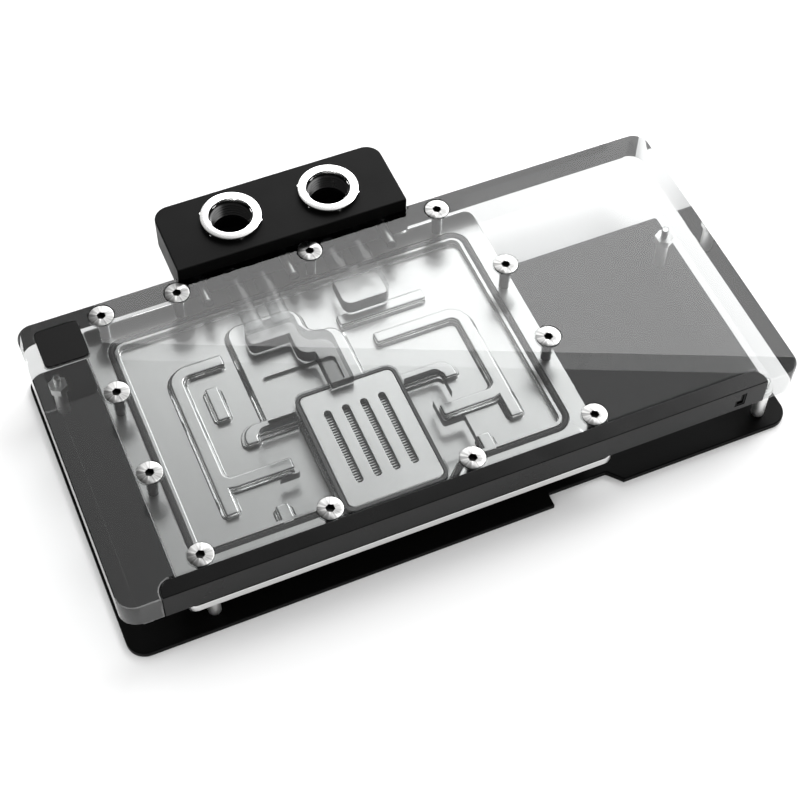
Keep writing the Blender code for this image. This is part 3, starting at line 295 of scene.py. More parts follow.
finishes = {
    "clear": makeClear("clearAcrylic"),
    "outerWall": makeClear("acrylicOuterWall", inner=0.985),
    # The back wall's reflection is dimmed to 0.05: painted shade, in place of the shadowed floor behind the
    # backplate that this wall reflects.
    "backWallShade": makeClear("acrylicBackWallShade", inner=0.985, mirror=0.05),
    # The well and pool walls throw back a dimmed reflection (mirror 0.35 and 0.45): painted shade for the dark look
    # of these clear walls.
    "wellWall": makeClear("acrylicWellWall", inner=0.04, outer=0.96, mirror=0.35, blur=0.03),
    "poolCeiling": makeClear("acrylicMilledCeiling", dimming=0.60),
    "poolWall": makeClear("acrylicPoolWall", inner=0.95, outer=0.22, mirror=0.45, blur=0.03),
    "edge": makeEdge(),
    "nickel": makeMetal("brightNickel", nickelLook),
    "fillet": makeMetal("nickelFilletHighlight", filletHighlightLook),
    "jet": makeMetal("satinNickel", jetLook),
    "port": makeMetal("polishedNickel", portLook),
    "standoff": makeMetal("standoffSteel", standoffLook),
    "turned": makeTurned(),
    "thread": makeMetal("threadPaintedShade", threadShadeLook),
    "shaft": makeMetal("screwPaintedShade", shaftShadeLook),
    "acetal": makeBlack("blackAcetal", acetalLook),
    "bar": makeBlack("blackBarCover", barLook),
    "anodised": makeBlack("blackAnodised", anodisedLook),
    "badge": makeBlack("blackBadge", badgeLook),
    "rubber": makeBlack("sealRubber", rubberLook),
    "gasket": makeBlack("gasketRubber", gasketLook),
    "board": makeBlack("circuitBoard", boardLook),
}
print("materials made:", len(finishes))


# Shapes

smoothing = {"flatFrom": 0.000009, "sharp": radians(38)}     # faces larger than this stay flat


def outlineFace(bm, corners, z, segments=12):
    # One face through the (x, y, radius) corners, its corners rounded.
    verts = [bm.verts.new((*plan(x, y), z)) for x, y, _ in corners]
    face = bm.faces.new(verts)
    for index, vert in enumerate(verts):
        radius = corners[index][2]
        if radius <= 0:
            continue
        ahead = Vector(corners[(index + 1) % len(corners)][:2]) - Vector(corners[index][:2])
        behind = Vector(corners[index - 1][:2]) - Vector(corners[index][:2])
        reach = radius / tan(ahead.angle(behind) / 2)
        bmesh.ops.bevel(bm, geom=[vert], offset=reach, offset_type="OFFSET", affect="VERTICES",
                        segments=segments, profile=0.5, material=-1)
    face = max(bm.faces, key=lambda item: item.calc_area())
    face.normal_update()
    if face.normal.z < 0:
        face.normal_flip()
    return face


def thicken(bm, face, move):
    # Closed solid between the face and a copy of it moved by the vector.
    grown = bmesh.ops.extrude_face_region(bm, geom=[face], use_keep_orig=True)["geom"]
    verts = [item for item in grown if isinstance(item, bmesh.types.BMVert)]
    bmesh.ops.translate(bm, verts=verts, vec=move)
    bmesh.ops.recalc_face_normals(bm, faces=bm.faces)


def roundRim(bm, z, width, segments=3, profile=0.5):
    # Rounds the sharp edges that lie on the height.
    edges = [edge for edge in bm.edges if all(abs(vert.co.z - z) < 1e-6 for vert in edge.verts)
             and len(edge.link_faces) == 2 and edge.calc_face_angle(0) > radians(60)]
    bmesh.ops.bevel(bm, geom=edges, offset=width, offset_type="OFFSET", affect="EDGES", segments=segments,
                    profile=profile, material=-1, clamp_overlap=True)


def slab(corners, bottom, top, topRim=0.0, bottomRim=0.0, segments=12):
    bm = bmesh.new()
    face = outlineFace(bm, corners, bottom, segments)
    thicken(bm, face, (0, 0, top - face.verts[0].co.z))
    if topRim:
        roundRim(bm, top, topRim)
    if bottomRim:
        roundRim(bm, bottom, bottomRim)
    return bm


def upright(corners, y0, y1):
    # Solid that stands on edge: its (x, z) outline at y0, carried to y1.
    bm = bmesh.new()
    face = bm.faces.new([bm.verts.new((*plan(x, y0), z)) for x, z in corners])
    thicken(bm, face, (0, y1 - y0, 0))
    return bm


def box(x0, y0, x1, y1, radius, frontRadius=None):
    first = radius if frontRadius is None else frontRadius
    return [(x0, y0, first), (x1, y0, first), (x1, y1, radius), (x0, y1, radius)]


def centred(x, y, halfWidth, halfDepth, radius):
    return box(x - halfWidth, y - halfDepth, x + halfWidth, y + halfDepth, radius)


def around(look, margin, radius):
    # The piece's outline, grown by the margin.
    return box(look["left"] - margin, look["front"] - margin, look["right"] + margin, look["back"] + margin, radius)


def spun(profile, cx, cy, steps):
    # Shape turned from an (r, z) profile about the upright axis at cx, cy.
    bm = bmesh.new()
    verts = [bm.verts.new((cx + r, cy, z)) for r, z in profile]
    edges = [bm.edges.new(pair) for pair in zip(verts, verts[1:])]
    bmesh.ops.spin(bm, geom=verts + edges, cent=(cx, cy, 0), axis=(0, 0, 1), angle=2 * pi, steps=steps,
                   use_merge=True)
    bmesh.ops.remove_doubles(bm, verts=bm.verts, dist=1e-6)
    bmesh.ops.recalc_face_normals(bm, faces=bm.faces)
    return bm


def turned(x, y, steps, *profile):
    # Solid turned about a place on the drawing, closed to the axis at both ends of its profile.
    return spun([(0, profile[0][1]), *profile, (0, profile[-1][1])], *plan(x, y), steps)


def shade(mesh):
    mesh.shade_smooth()
    mesh.set_sharp_from_angle(angle=smoothing["sharp"])
    for face in mesh.polygons:
        if face.area > smoothing["flatFrom"]:
            face.use_smooth = False


def toObject(bm, name):
    mesh = bpy.data.meshes.new(name)
    bm.to_mesh(mesh)
    bm.free()
    item = bpy.data.objects.new(name, mesh)
    bpy.context.collection.objects.link(item)
    return item


def carve(item, tools, operation="DIFFERENCE"):
    # Cuts each tool out of the item, or joins it on, and deletes it.
    for shape in tools:
        tool = shape if isinstance(shape, bpy.types.Object) else toObject(shape, "tool")
        modifier = item.modifiers.new("cut", "BOOLEAN")
        modifier.operation = operation
        modifier.solver = "EXACT"
        modifier.object = tool
        graph = bpy.context.evaluated_depsgraph_get()
        mesh = bpy.data.meshes.new_from_object(item.evaluated_get(graph))
        item.modifiers.clear()
        old = item.data
        item.data = mesh
        bpy.data.meshes.remove(old)
        bpy.data.objects.remove(tool)


def reshape(item, change):
    # Runs a bmesh edit on a finished mesh.
    bm = bmesh.new()
    bm.from_mesh(item.data)
    change(bm)
    bm.to_mesh(item.data)
    bm.free()


def taken(item):
    # The mesh of a helper, which is then deleted.
    bm = bmesh.new()
    bm.from_mesh(item.data)
    bpy.data.objects.remove(item)
    return bm


def joined(item, others):
    # Adds the other meshes to the item as further shells.
    bm = bmesh.new()
    bm.from_mesh(item.data)
    for other in others:
        mesh = bpy.data.meshes.new("shell")
        other.to_mesh(mesh)
        other.free()
        bm.from_mesh(mesh)
        bpy.data.meshes.remove(mesh)
    bm.to_mesh(item.data)
    bm.free()


def fit(item, finish, node):
    # Gives a finished piece its material and its body, and hides the node it stands for.
    if not item.data.materials:
        item.data.materials.append(finishes[finish])
    shade(item.data)
    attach(item, "root")
    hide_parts(node)


def tube(bm, name, radius):
    # Round bead along the edge of the face in bm.
    loop = [vert.co.copy() for vert in bm.faces[:][0].verts]
    bm.free()
    curve = bpy.data.curves.new(name, "CURVE")
    curve.dimensions = "3D"
    line = curve.splines.new("POLY")
    line.points.add(len(loop) - 1)
    for point, place in zip(line.points, loop):
        point.co = (*place, 1.0)
    line.use_cyclic_u = True
    curve.bevel_depth = radius
    curve.bevel_resolution = 5
    holder = bpy.data.objects.new(name + "Path", curve)
    mesh = bpy.data.meshes.new_from_object(holder)
    bpy.data.objects.remove(holder)
    item = bpy.data.objects.new(name, mesh)
    bpy.context.collection.objects.link(item)
    reshape(item, lambda edit: bmesh.ops.recalc_face_normals(edit, faces=edit.faces))
    return item


# Cold plate with the chamber, the ribs and the seal groove milled into it

coldPlate = {
    "left": 0.0176, "right": 0.1449, "back": 0.0995, "corner": 0.0030, "outerRim": 0.0003, "rim": 0.00035,
    "chamber": (0.0265, 0.0163, 0.1360, 0.0901), "chamberCorner": 0.0025, "chamberDepth": 0.0020,
    "chamberFoot": 0.0004, "screwHole": 0.00155,
    "ribWidth": 0.0041, "ribRim": 0.00065, "ribEnd": 0.0008, "lower": 0.00002,
    "foot": 0.0009, "footProfile": 0.16, "sunk": 0.0003,
    "seal": (0.0245, 0.0142, 0.1380, 0.0920), "sealCorner": 0.0045, "sealDip": 0.0055, "sealRun": 0.0060,
    "sealRadius": 0.00085, "sealDrop": 0.00055, "grooveExtra": 0.00025, "grooveDepth": 0.0015,
    "finBlock": (0.0663, 0.0158, 0.0990, 0.0511, 0.0008), "finRim": 0.0002, "fins": 32, "finStart": 0.0193,
    "finPitch": 0.0009, "finSlot": 0.0005,
}
jetPlate = {
    "left": 0.0686, "front": 0.0113, "right": 0.0976, "back": 0.0513, "corner": 0.0020, "rim": 0.00035,
    "slots": 4, "slotWidth": 0.0022, "slotLength": 0.0260, "slotPitch": 0.0056, "slotRim": 0.00012,
    "gasket": 0.0012, "gasketRim": 0.0002, "gap": 0.0002, "gate": (0.0790, 0.0846), "gateDepth": 0.003,
}
plateau = {
    "left": 0.0577, "right": 0.0903, "front": 0.0450, "back": 0.0845, "neck": 0.0807, "shoulder": 0.0735,
    "bend": 0.0045, "frontCorner": 0.0008, "recess": (0.0618, 0.0536, 0.0846, 0.0633, 0.0015),
    "recessDepth": 0.0012,
}

# Centre lines of the ribs on the drawing, each with its bend radius and the runs that branch off it
ribPaths = [
    (0.0042, ((0.0541, 0.0742), (0.0387, 0.0742), (0.0387, 0.0329), (0.0601, 0.0329)),
     ((0.0387, 0.0230), (0.0387, 0.0400))),
    (0.0021, ((0.0473, 0.0538), (0.0473, 0.0660)), None),
    (0.0024, ((0.0675, 0.0472), (0.0521, 0.0472), (0.0521, 0.0428)), None),
    (0.0024, ((0.0940, 0.0472), (0.1134, 0.0472), (0.1134, 0.0428)), None),
    (0.0021, ((0.0521, 0.0150), (0.0521, 0.0213)), None),
    (0.0021, ((0.1134, 0.0150), (0.1134, 0.0213)), None),
    (0.0042, ((0.0980, 0.0642), (0.1253, 0.0642), (0.1253, 0.0329), (0.1058, 0.0329)),
     ((0.1253, 0.0230), (0.1253, 0.0400))),
    (0.0021, ((0.0904, 0.0743), (0.1182, 0.0743)), None),
]


def ribCorners(path, width, bend, end):
    # Corners of a rib of even width along straight runs that turn at right angles.
    sides = ([], [])
    points = [Vector(point) for point in path]
    last = len(points) - 1
    for index, point in enumerate(points):
        ahead = (points[min(index + 1, last)] - points[min(index, last - 1)]).normalized()
        behind = (points[max(index, 1)] - points[max(index - 1, 0)]).normalized()
        turn = behind.x * ahead.y - behind.y * ahead.x
        across = Vector((-behind.y, behind.x)) * (width / 2)
        if abs(turn) > 0.5:
            across += Vector((-ahead.y, ahead.x)) * (width / 2)
        for side, sign in zip(sides, (1, -1)):
            radius = end if index in (0, last) else bend - sign * turn * width / 2
            side.append((*(point + across * sign), max(radius, end)))
    return sides[1] + sides[0][::-1]


def sealCorners(grow=0.0):
    left, front, right, back = coldPlate["seal"]
    dip = front - coldPlate["sealDip"]
    bend = coldPlate["sealDip"] / 2
    turn = coldPlate["sealCorner"] + grow
    lean = grow * 0.41          # what the slanting runs take of the growth
    run = coldPlate["sealRun"]
    return [
        (left - grow, front - grow, turn), (jetPlate["left"] - run - lean, front - grow, bend - grow),
        (jetPlate["left"] - lean, dip - grow, bend + grow), (jetPlate["right"] + lean, dip - grow, bend + grow),
        (jetPlate["right"] + run + lean, front - grow, bend - grow), (right + grow, front - grow, turn),
        (right + grow, back + grow, turn), (left - grow, back + grow, turn),
    ]


def ribShell(bend, path, branch, grow, top, rim, profile):
    # A rib with its branch and a broken upper edge; grown, with a hollow profile, it is the fillet at the foot.
    deep = plateFace - coldPlate["chamberDepth"] - coldPlate["sunk"]
    width, end = coldPlate["ribWidth"] + 2 * grow, coldPlate["ribEnd"] + grow
    rib = toObject(slab(ribCorners(path, width, bend, end), deep, top, segments=8), "rib")
    if branch:
        carve(rib, [slab(ribCorners(branch, width, bend, end), deep, top, segments=8)], "UNION")
    bm = taken(rib)
    bmesh.ops.dissolve_limit(bm, angle_limit=radians(1), verts=bm.verts, edges=bm.edges)
    bmesh.ops.remove_doubles(bm, verts=bm.verts, dist=0.00015)
    roundRim(bm, top, rim, 4, profile)
    return bm


def plateauCorners(grow=0.0):
    left, right = plateau["left"] - grow, plateau["right"] + grow
    front, back = plateau["front"] - grow, plateau["back"] + grow
    neck, shoulder, bend = plateau["neck"] + grow, plateau["shoulder"] + grow, plateau["bend"]
    return [
        (left, front, plateau["frontCorner"] + grow), (right, front, plateau["frontCorner"] + grow),
        (right, shoulder, bend + grow), (neck, shoulder, bend - grow), (neck, back, bend + grow),
        (left, back, bend + grow),
    ]


def makeColdPlate():
    look = coldPlate
    floor = plateFace - look["chamberDepth"]
    ribTop = plateFace - look["lower"]
    deep = floor - look["sunk"]
    foot = look["foot"]
    outline = box(look["left"], 0.0, look["right"], look["back"], look["corner"])
    plate = toObject(slab(outline, plateUnder, plateFace, topRim=look["outerRim"], bottomRim=look["outerRim"]),
                     "coldPlate")
    chamber = slab(box(*look["chamber"], look["chamberCorner"]), floor, plateFace + past,
                   bottomRim=look["chamberFoot"])
    half = look["sealRadius"] + look["grooveExtra"]
    groove = toObject(slab(sealCorners(half), plateFace - look["grooveDepth"], plateFace + past), "groove")
    carve(groove, [slab(sealCorners(-half), plateFace - look["grooveDepth"] - past, plateFace + 2 * past)])
    holes = [turned(*centreOf(node), 24, (look["screwHole"], plateUnder - past),
                    (look["screwHole"], plateFace + past)) for node in topScrewNodes]
    carve(plate, [chamber, groove] + holes)
    reshape(plate, lambda bm: roundRim(bm, plateFace, look["rim"], 2))

    shells = []
    for rib in ribPaths:
        shells.append(ribShell(*rib, 0.0, ribTop, look["ribRim"], 0.5))
        shells.append(ribShell(*rib, foot, floor + foot, foot, look["footProfile"]))
    island = toObject(slab(plateauCorners(), deep, ribTop, topRim=look["ribRim"], segments=8), "plateau")
    carve(island, [slab(box(*plateau["recess"]), plateFace - plateau["recessDepth"], plateFace + past)])
    skirt = slab(plateauCorners(foot), deep, floor + foot, segments=8)
    roundRim(skirt, floor + foot, foot, 4, look["footProfile"])
    finBlock = toObject(slab(box(*look["finBlock"]), deep, ribTop - look["lower"], topRim=look["finRim"]),
                        "finBlock")
    slits = []
    for index in range(look["fins"]):
        y = look["finStart"] + index * look["finPitch"]
        slits.append(slab(box(look["finBlock"][0] - past, y, look["finBlock"][2] + past, y + look["finSlot"], 0.0),
                          floor, plateFace + past))
    carve(finBlock, slits)
    joined(plate, shells + [skirt, taken(island), taken(finBlock)])
    for finish in ("nickel", "fillet"):
        plate.data.materials.append(finishes[finish])
    # Sloped faces inside the chamber take the brighter fillet copy: painted highlight on the rib edges.
    for face in plate.data.polygons:
        inside = face.center.z > floor - 0.0001
        face.material_index = 1 if inside and 0.12 < abs(face.normal.z) < 0.98 else 0
    fit(plate, "nickel", "cold_plate")


def makeSeal():
    bm = bmesh.new()
    outlineFace(bm, sealCorners(), plateFace - coldPlate["sealDrop"], 10)
    fit(tube(bm, "chamberSeal", coldPlate["sealRadius"]), "rubber", "chamber_seal")


# Centre plate with plain slots, and its gasket

def makeJetPlate():
    look = jetPlate
    bottom, top = low("jet_plate")[2], high("jet_plate")[2]
    plate = toObject(slab(around(look, 0.0, look["corner"]), bottom, top, topRim=look["rim"]), "jetPlate")
    middle = (look["left"] + look["right"]) / 2
    centre = (look["front"] + look["back"]) / 2
    half, reach = look["slotWidth"] / 2, look["slotLength"] / 2
    tools = []
    for index in range(look["slots"]):
        x = middle + (index - (look["slots"] - 1) / 2) * look["slotPitch"]
        tools.append(slab(centred(x, centre, half, reach, half * 0.98), bottom - past, top + past))
    carve(plate, tools)
    reshape(plate, lambda bm: roundRim(bm, top, look["slotRim"], 2))
    fit(plate, "jet", "jet_plate")

    ring = look["gasket"]
    gasket = toObject(slab(around(look, ring, look["corner"] + ring), bottom, top, topRim=look["gasketRim"]),
                      "jetPlateGasket")
    core = slab(around(look, look["gap"], look["corner"]), bottom - past, top + past)
    gate = slab(box(look["gate"][0], look["back"], look["gate"][1], look["back"] + look["gateDepth"], 0.0),
                bottom - past, top + past)
    carve(gasket, [core, gate])
    fit(gasket, "gasket", "jet_plate_gasket")


# Clear top

clearTop = {
    "length": 0.2040, "depth": 0.1000, "corner": 0.0050, "rim": 0.00035,
    "bar": (0.0112, 0.1928), "barDepth": 0.0053, "barCorner": 0.0038,
    "terminal": (0.0497, 0.1235), "bite": 0.0012, "ceiling": 0.0047, "seatGap": 0.0003,
    "rebate": (0.0052, 0.0750), "rebateHeight": 0.0010,
    "badge": (0.01135, 0.08975), "badgeHalf": 0.0069, "badgeCorner": 0.0020, "badgeDepth": 0.0015,
    "headHole": 0.0040, "headDepth": 0.0029, "headBrim": 0.0007, "shaftHole": 0.00175, "studHole": 0.00115,
    "ductBore": 0.0057, "ductHeight": 0.0051, "ductLap": 0.002, "clampBore": 0.0033, "clampDrop": 0.0036,
    "tipGap": 0.0003,
}
# Voids beside the centre plate, drawn round the clear block that stands in each of them
wells = {
    "height": 0.0029,
    "left": [(0.0540, 0.0163, 0.0008), (0.0663, 0.0163, 0.0008), (0.0663, 0.0451, 0.0005),
             (0.0540, 0.0451, 0.0022), (0.0540, 0.0352, 0.0005), (0.0603, 0.0352, 0.0005),
             (0.0603, 0.0270, 0.0008), (0.0540, 0.0270, 0.0005)],
    "right": [(0.0990, 0.0163, 0.0008), (0.1102, 0.0163, 0.0008), (0.1102, 0.0270, 0.0005),
              (0.1038, 0.0270, 0.0008), (0.1038, 0.0352, 0.0005), (0.1102, 0.0352, 0.0005),
              (0.1102, 0.0451, 0.0022), (0.0990, 0.0451, 0.0005)],
}
pools = {
    "inlet": (0.0623, 0.0720, 0.0778, 0.0792, 0.0020),
    "outlet": (0.0933, 0.0752, 0.1082, 0.0882, 0.0028),
}
channel = [
    (0.0790, 0.0505, 0.0), (0.0858, 0.0505, 0.0), (0.0858, 0.0700, 0.0040), (0.0798, 0.0700, 0.0030),
    (0.0760, 0.0772, 0.0), (0.0743, 0.0740, 0.0), (0.0743, 0.0630, 0.0040), (0.0790, 0.0630, 0.0020),
]
ducts = {"inlet": 0.0698, "outlet": 0.1008, "pitch": 0.0084}


def layBore(x, z, radius, y0, y1, steps=24):
    # Bore tool that lies along the depth of the block.
    bm = bmesh.new()
    made = bmesh.ops.create_cone(bm, cap_ends=True, segments=steps, radius1=radius, radius2=radius, depth=y1 - y0)
    px, py = plan(x, (y0 + y1) / 2)
    bmesh.ops.rotate(bm, verts=made["verts"], cent=(0, 0, 0), matrix=Matrix.Rotation(pi / 2, 3, "X"))
    bmesh.ops.translate(bm, verts=made["verts"], vec=(px, py, z))
    return bm


clearKinds = ("clear", "outerWall", "backWallShade", "wellWall", "poolWall", "edge", "poolCeiling")


def markWalls(item, wall, flat="clear"):
    # The item's upright faces take one finish and its level faces the other.
    for kind in clearKinds:
        item.data.materials.append(finishes[kind])
    for face in item.data.polygons:
        face.material_index = clearKinds.index(wall if abs(face.normal.z) < 0.3 else flat)


def makeClearTop():
    look = clearTop
    length, depth, turn = look["length"], look["depth"], look["corner"]
    barLeft, barRight = look["bar"]
    biteLeft, biteRight = look["terminal"]
    bite = depth - look["bite"]
    outline = [
        (0, 0, turn), (barLeft, 0, 0), (barLeft, look["barDepth"], look["barCorner"]),
        (barRight, look["barDepth"], look["barCorner"]), (barRight, 0, 0), (length, 0, turn),
        (length, depth, turn), (biteRight, depth, 0), (biteRight, bite, 0), (biteLeft, bite, 0),
        (biteLeft, depth, 0), (0, depth, turn),
    ]
    top = toObject(slab(outline, underside, topFace, topRim=look["rim"], bottomRim=look["rim"], segments=16),
                   "clearTop")
    markWalls(top, "outerWall")
    for face in top.data.polygons:
        if abs(face.normal.z) > 0.3 and face.area < smoothing["flatFrom"]:
            face.material_index = clearKinds.index("edge")
        # Faces looking back take the back wall finish, with its painted shade.
        elif face.normal.y > 0.7:
            face.material_index = clearKinds.index("backWallShade")

    deep = underside - past
    well = toObject(slab(wells["left"], deep, underside + wells["height"], segments=6), "well")
    carve(well, [slab(wells["right"], deep, underside + wells["height"], segments=6)], "UNION")
    markWalls(well, "wellWall")
    ceiling = underside + look["ceiling"]
    pool = toObject(slab(channel, deep, ceiling, segments=8), "pool")
    carve(pool, [slab(box(*pools["inlet"]), deep, ceiling)], "UNION")
    markWalls(pool, "poolWall", "poolCeiling")
    outlet = toObject(slab(box(*pools["outlet"]), deep, ceiling), "outlet")
    markWalls(outlet, "poolWall")
    margin = jetPlate["gasket"] + look["seatGap"]
    seat = slab(around(jetPlate, margin, jetPlate["corner"] + margin), deep,
                high("jet_plate")[2] + look["seatGap"])
    rebate = toObject(slab(box(-past, -past, *look["rebate"], 0.0), deep, underside + look["rebateHeight"]),
                      "rebate")
    markWalls(rebate, "edge")
    half = look["badgeHalf"]
    badge = slab(centred(*look["badge"], half, half, look["badgeCorner"]), topFace - look["badgeDepth"],
                 topFace + past)
    shaft, head = look["shaftHole"], look["headHole"]
    holes = [turned(*centreOf(node), 40, (shaft, deep), (shaft, topFace - look["headDepth"]),
                    (head, topFace - look["headBrim"]), (head, topFace + past)) for node in topScrewNodes]
    bores = []
    for name in ("inlet", "outlet"):
        for side in (-0.5, 0.5):
            bores.append(layBore(ducts[name] + side * ducts["pitch"], underside + look["ductHeight"],
                                 look["ductBore"] / 2, pools[name][3] - look["ductLap"], depth + past))
    for node in clampNodes:
        start = low(node)[1] - corner.y - look["tipGap"]
        bores.append(layBore(centreOf(node)[0], topFace - look["clampDrop"], look["clampBore"] / 2, start,
                             depth + past))
    studs = []
    for node in ("standoff_2", "standoff_3", "standoff_4"):
        studs.append(turned(*centreOf(node), 24, (look["studHole"], deep),
                            (look["studHole"], high(node)[2] + look["tipGap"])))
    carve(top, [well, pool, outlet, seat, rebate, badge] + holes + bores + studs)
    reshape(top, lambda bm: bmesh.ops.holes_fill(bm, edges=bm.edges, sides=3))      # slivers at the front rim
    fit(top, "clear", "clear_top")


# Screws

topScrew = {"head": 0.0037, "headHeight": 0.0026, "shaft": 0.00145, "hex": 0.0024, "hexDepth": 0.0016,
            "rim": 0.0002, "brim": 0.0004, "shadedSides": True}
clampScrew = {"head": 0.00275, "headHeight": 0.0030, "shaft": 0.0015, "hex": 0.0024, "hexDepth": 0.0016,
              "rim": 0.0002, "brim": 0.0030, "shadedSides": False}
footScrew = {"head": 0.0020, "headHeight": 0.0010, "shaft": 0.0010, "hex": 0.0013, "hexDepth": 0.0005,
             "rim": 0.00015, "brim": 0.0010, "shadedSides": False}


def headPlan(mesh, centre, faces):
    # UV map that holds each point's place on the head, in metres from its centre.
    layer = mesh.uv_layers.new(name="headPlan")
    for loop in mesh.loops:
        place = mesh.vertices[loop.vertex_index].co - centre
        layer.data[loop.index].uv = (place.x, place.z if faces == "back" else place.y)


def makeScrew(name, node, look, faces="up"):
    lower, upper = (Vector(item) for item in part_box(node))
    middle = (lower + upper) / 2
    length = upper.y - lower.y if faces == "back" else upper.z - lower.z
    head, tall, shaft, rim = look["head"], look["headHeight"], look["shaft"], look["rim"]
    flats = look["hex"] / sqrt(3)
    screw = toObject(spun([
        (0, -length), (shaft * 0.8, -length), (shaft, shaft * 0.2 - length), (shaft, -tall),
        (head, -look["brim"]), (head, -rim), (head - rim * 0.3, -rim * 0.3), (head - rim, 0), (0, 0),
    ], 0, 0, 40), name)
    tool = bmesh.new()
    bmesh.ops.create_cone(tool, cap_ends=True, segments=6, radius1=flats, radius2=flats,
                          depth=look["hexDepth"] * 2)
    carve(screw, [tool])
    for finish in ("turned", "shaft"):
        screw.data.materials.append(finishes[finish])
    # Socket faces, and on the top screws the head sides and shaft, take the dark copy: painted shade.
    for face in screw.data.polygons:
        deep = face.center.z < -rim * 1.2 and (look["shadedSides"] or face.center.xy.length < flats)
        face.material_index = 1 if deep else 0
    if faces == "up":
        place = Matrix.Translation((middle.x, middle.y, upper.z))
    elif faces == "back":
        place = Matrix.Translation((middle.x, upper.y, middle.z)) @ Matrix.Rotation(-pi / 2, 4, "X")
    else:
        place = Matrix.Translation((middle.x, middle.y, lower.z)) @ Matrix.Rotation(pi, 4, "X")
    screw.data.transform(place)
    headPlan(screw.data, place.translation, faces)
    fit(screw, "turned", node)


def makeScrews():
    for node in topScrewNodes:
        makeScrew("topScrew" + node[-2:], node, topScrew)
    for node in nodesOf("backplate_screw"):
        makeScrew("footScrew" + node[-1], node, footScrew, "down")
    for node in clampNodes:
        makeScrew("clampScrew" + node[-1], node, clampScrew, "back")


# Light bar

lightBar = {"left": 0.0115, "right": 0.1925, "depth": 0.0050, "corner": 0.0038, "rim": 0.0002, "wall": 0.0012,
            "endWall": 0.0042, "socket": 0.0080, "socketDrop": 0.0050, "socketWidth": 0.0030,
            "socketHeight": 0.0050, "socketStep": 0.0024, "socketWall": 0.0005, "socketGap": 0.00015,
            "socketDepth": 0.0034, "socketFloor": 0.0029}


def socketCorners(grow):
    look = lightBar
    x = look["right"] - look["socket"]
    z = topFace - look["socketDrop"]
    left = x - look["socketWidth"] / 2 - grow
    right = x + look["socketWidth"] / 2 + grow
    bottom = z - look["socketHeight"] / 2 - grow
    top = z + look["socketHeight"] / 2 + grow
    step = bottom + look["socketStep"] + 2 * grow
    return [(left, bottom), (right, bottom), (right, top), (x - grow, top), (x - grow, step), (left, step)]


def makeLightBar():
    look = lightBar
    outline = box(look["left"], 0, look["right"], look["depth"], look["corner"], 0)
    cover = toObject(slab(outline, underside, topFace, topRim=look["rim"], bottomRim=look["rim"]),
                     "lightBarCover")
    hollow = slab(box(look["left"] + look["endWall"], look["wall"], look["right"] - look["endWall"],
                      look["depth"] + past, 0.0), underside + look["wall"], topFace - look["wall"])
    window = upright(socketCorners(look["socketGap"]), -past, look["wall"] + past)
    carve(cover, [hollow, window])
    fit(cover, "bar", "light_bar_cover")
    socket = toObject(upright(socketCorners(0.0), look["socketGap"], look["socketDepth"]), "lightBarSocket")
    carve(socket, [upright(socketCorners(-look["socketWall"]), -past, look["socketFloor"])])
    fit(socket, "anodised", "light_bar_socket")


# Terminal block with the two ports

terminal = {"left": 0.0500, "right": 0.1232, "front": 0.0991, "back": 0.1243, "corner": 0.0050,
            "frontCorner": 0.0005, "rim": 0.0004, "under": 0.0072, "flangeInset": 0.0060,
            "flangeDepth": 0.0040, "passage": 0.0044, "passageDrop": 0.00015, "bore": 0.0058,
            "barrel": 0.0076, "barrelLength": 0.0059, "clampHead": 0.00305, "clampSeat": 0.0033,
            "sealOver": 0.00075, "sealBead": 0.00045}
ports = {"bore": 0.0058, "barrel": 0.0073, "barrelLength": 0.0056, "flange": 0.00925, "flangeHeight": 0.0006,
         "rim": 0.0002, "hex": 0.0083, "gap": 0.0003, "mouth": 0.0007, "lip": 0.0001, "pitch": 0.00107,
         "threadDepth": 0.00055, "threadSteps": 40}


def slotCorners(x, z, pitch, radius):
    # Corners of an upright slot outline; the ends are rounded by many short sides.
    corners = []
    for side, start in ((0.5, -pi / 2), (-0.5, pi / 2)):
        for step in range(13):
            angle = start + step * pi / 12
            corners.append((x + side * pitch + radius * cos(angle), z + radius * sin(angle)))
    return corners


def makeTerminal():
    look = terminal
    top = high("terminal_block")[2]
    outline = box(look["left"], look["front"], look["right"], look["back"], look["corner"], look["frontCorner"])
    block = toObject(slab(outline, topFace - look["under"], top, topRim=look["rim"], bottomRim=look["rim"],
                          segments=16), "terminalBlock")
    inset = look["flangeInset"]
    flange = slab(box(look["left"] + inset, look["front"], look["right"] - inset,
                      look["front"] + look["flangeDepth"], 0.0), underside, topFace)
    carve(block, [flange], "UNION")
    ductZ = underside + clearTop["ductHeight"]
    passageZ = ductZ + (clearTop["ductBore"] - look["passage"]) / 2 - look["passageDrop"]
    floor = passageZ - look["passage"] / 2
    seat = top - look["barrelLength"]
    tools = []
    for duct in ("inlet", "outlet"):
        x, y = centreOf(duct + "_port")
        tools.append(turned(x, y, 48, (look["bore"], floor), (look["bore"], seat), (look["barrel"], seat),
                            (look["barrel"], top + past)))
        tools.append(upright(slotCorners(ducts[duct], passageZ, ducts["pitch"], look["passage"] / 2),
                             look["front"] - past, y))
    for node in clampNodes:
        x = centreOf(node)[0]
        z = topFace - clearTop["clampDrop"]
        tools.append(layBore(x, z, clearTop["clampBore"] / 2, look["front"] - past, look["back"] + past))
        tools.append(layBore(x, z, look["clampHead"], look["back"] - look["clampSeat"], look["back"] + past, 32))
    carve(block, tools)
    fit(block, "acetal", "terminal_block")
    radius = clearTop["ductBore"] / 2 + look["sealOver"]
    for duct in ("inlet", "outlet"):
        node = duct + "_seal"
        y = centreOf(node)[1]
        bm = bmesh.new()
        bm.faces.new([bm.verts.new((*plan(x, y), z))
                      for x, z in slotCorners(ducts[duct], ductZ, ducts["pitch"], radius)])
        fit(tube(bm, duct + "Seal", look["sealBead"]), "rubber", node)


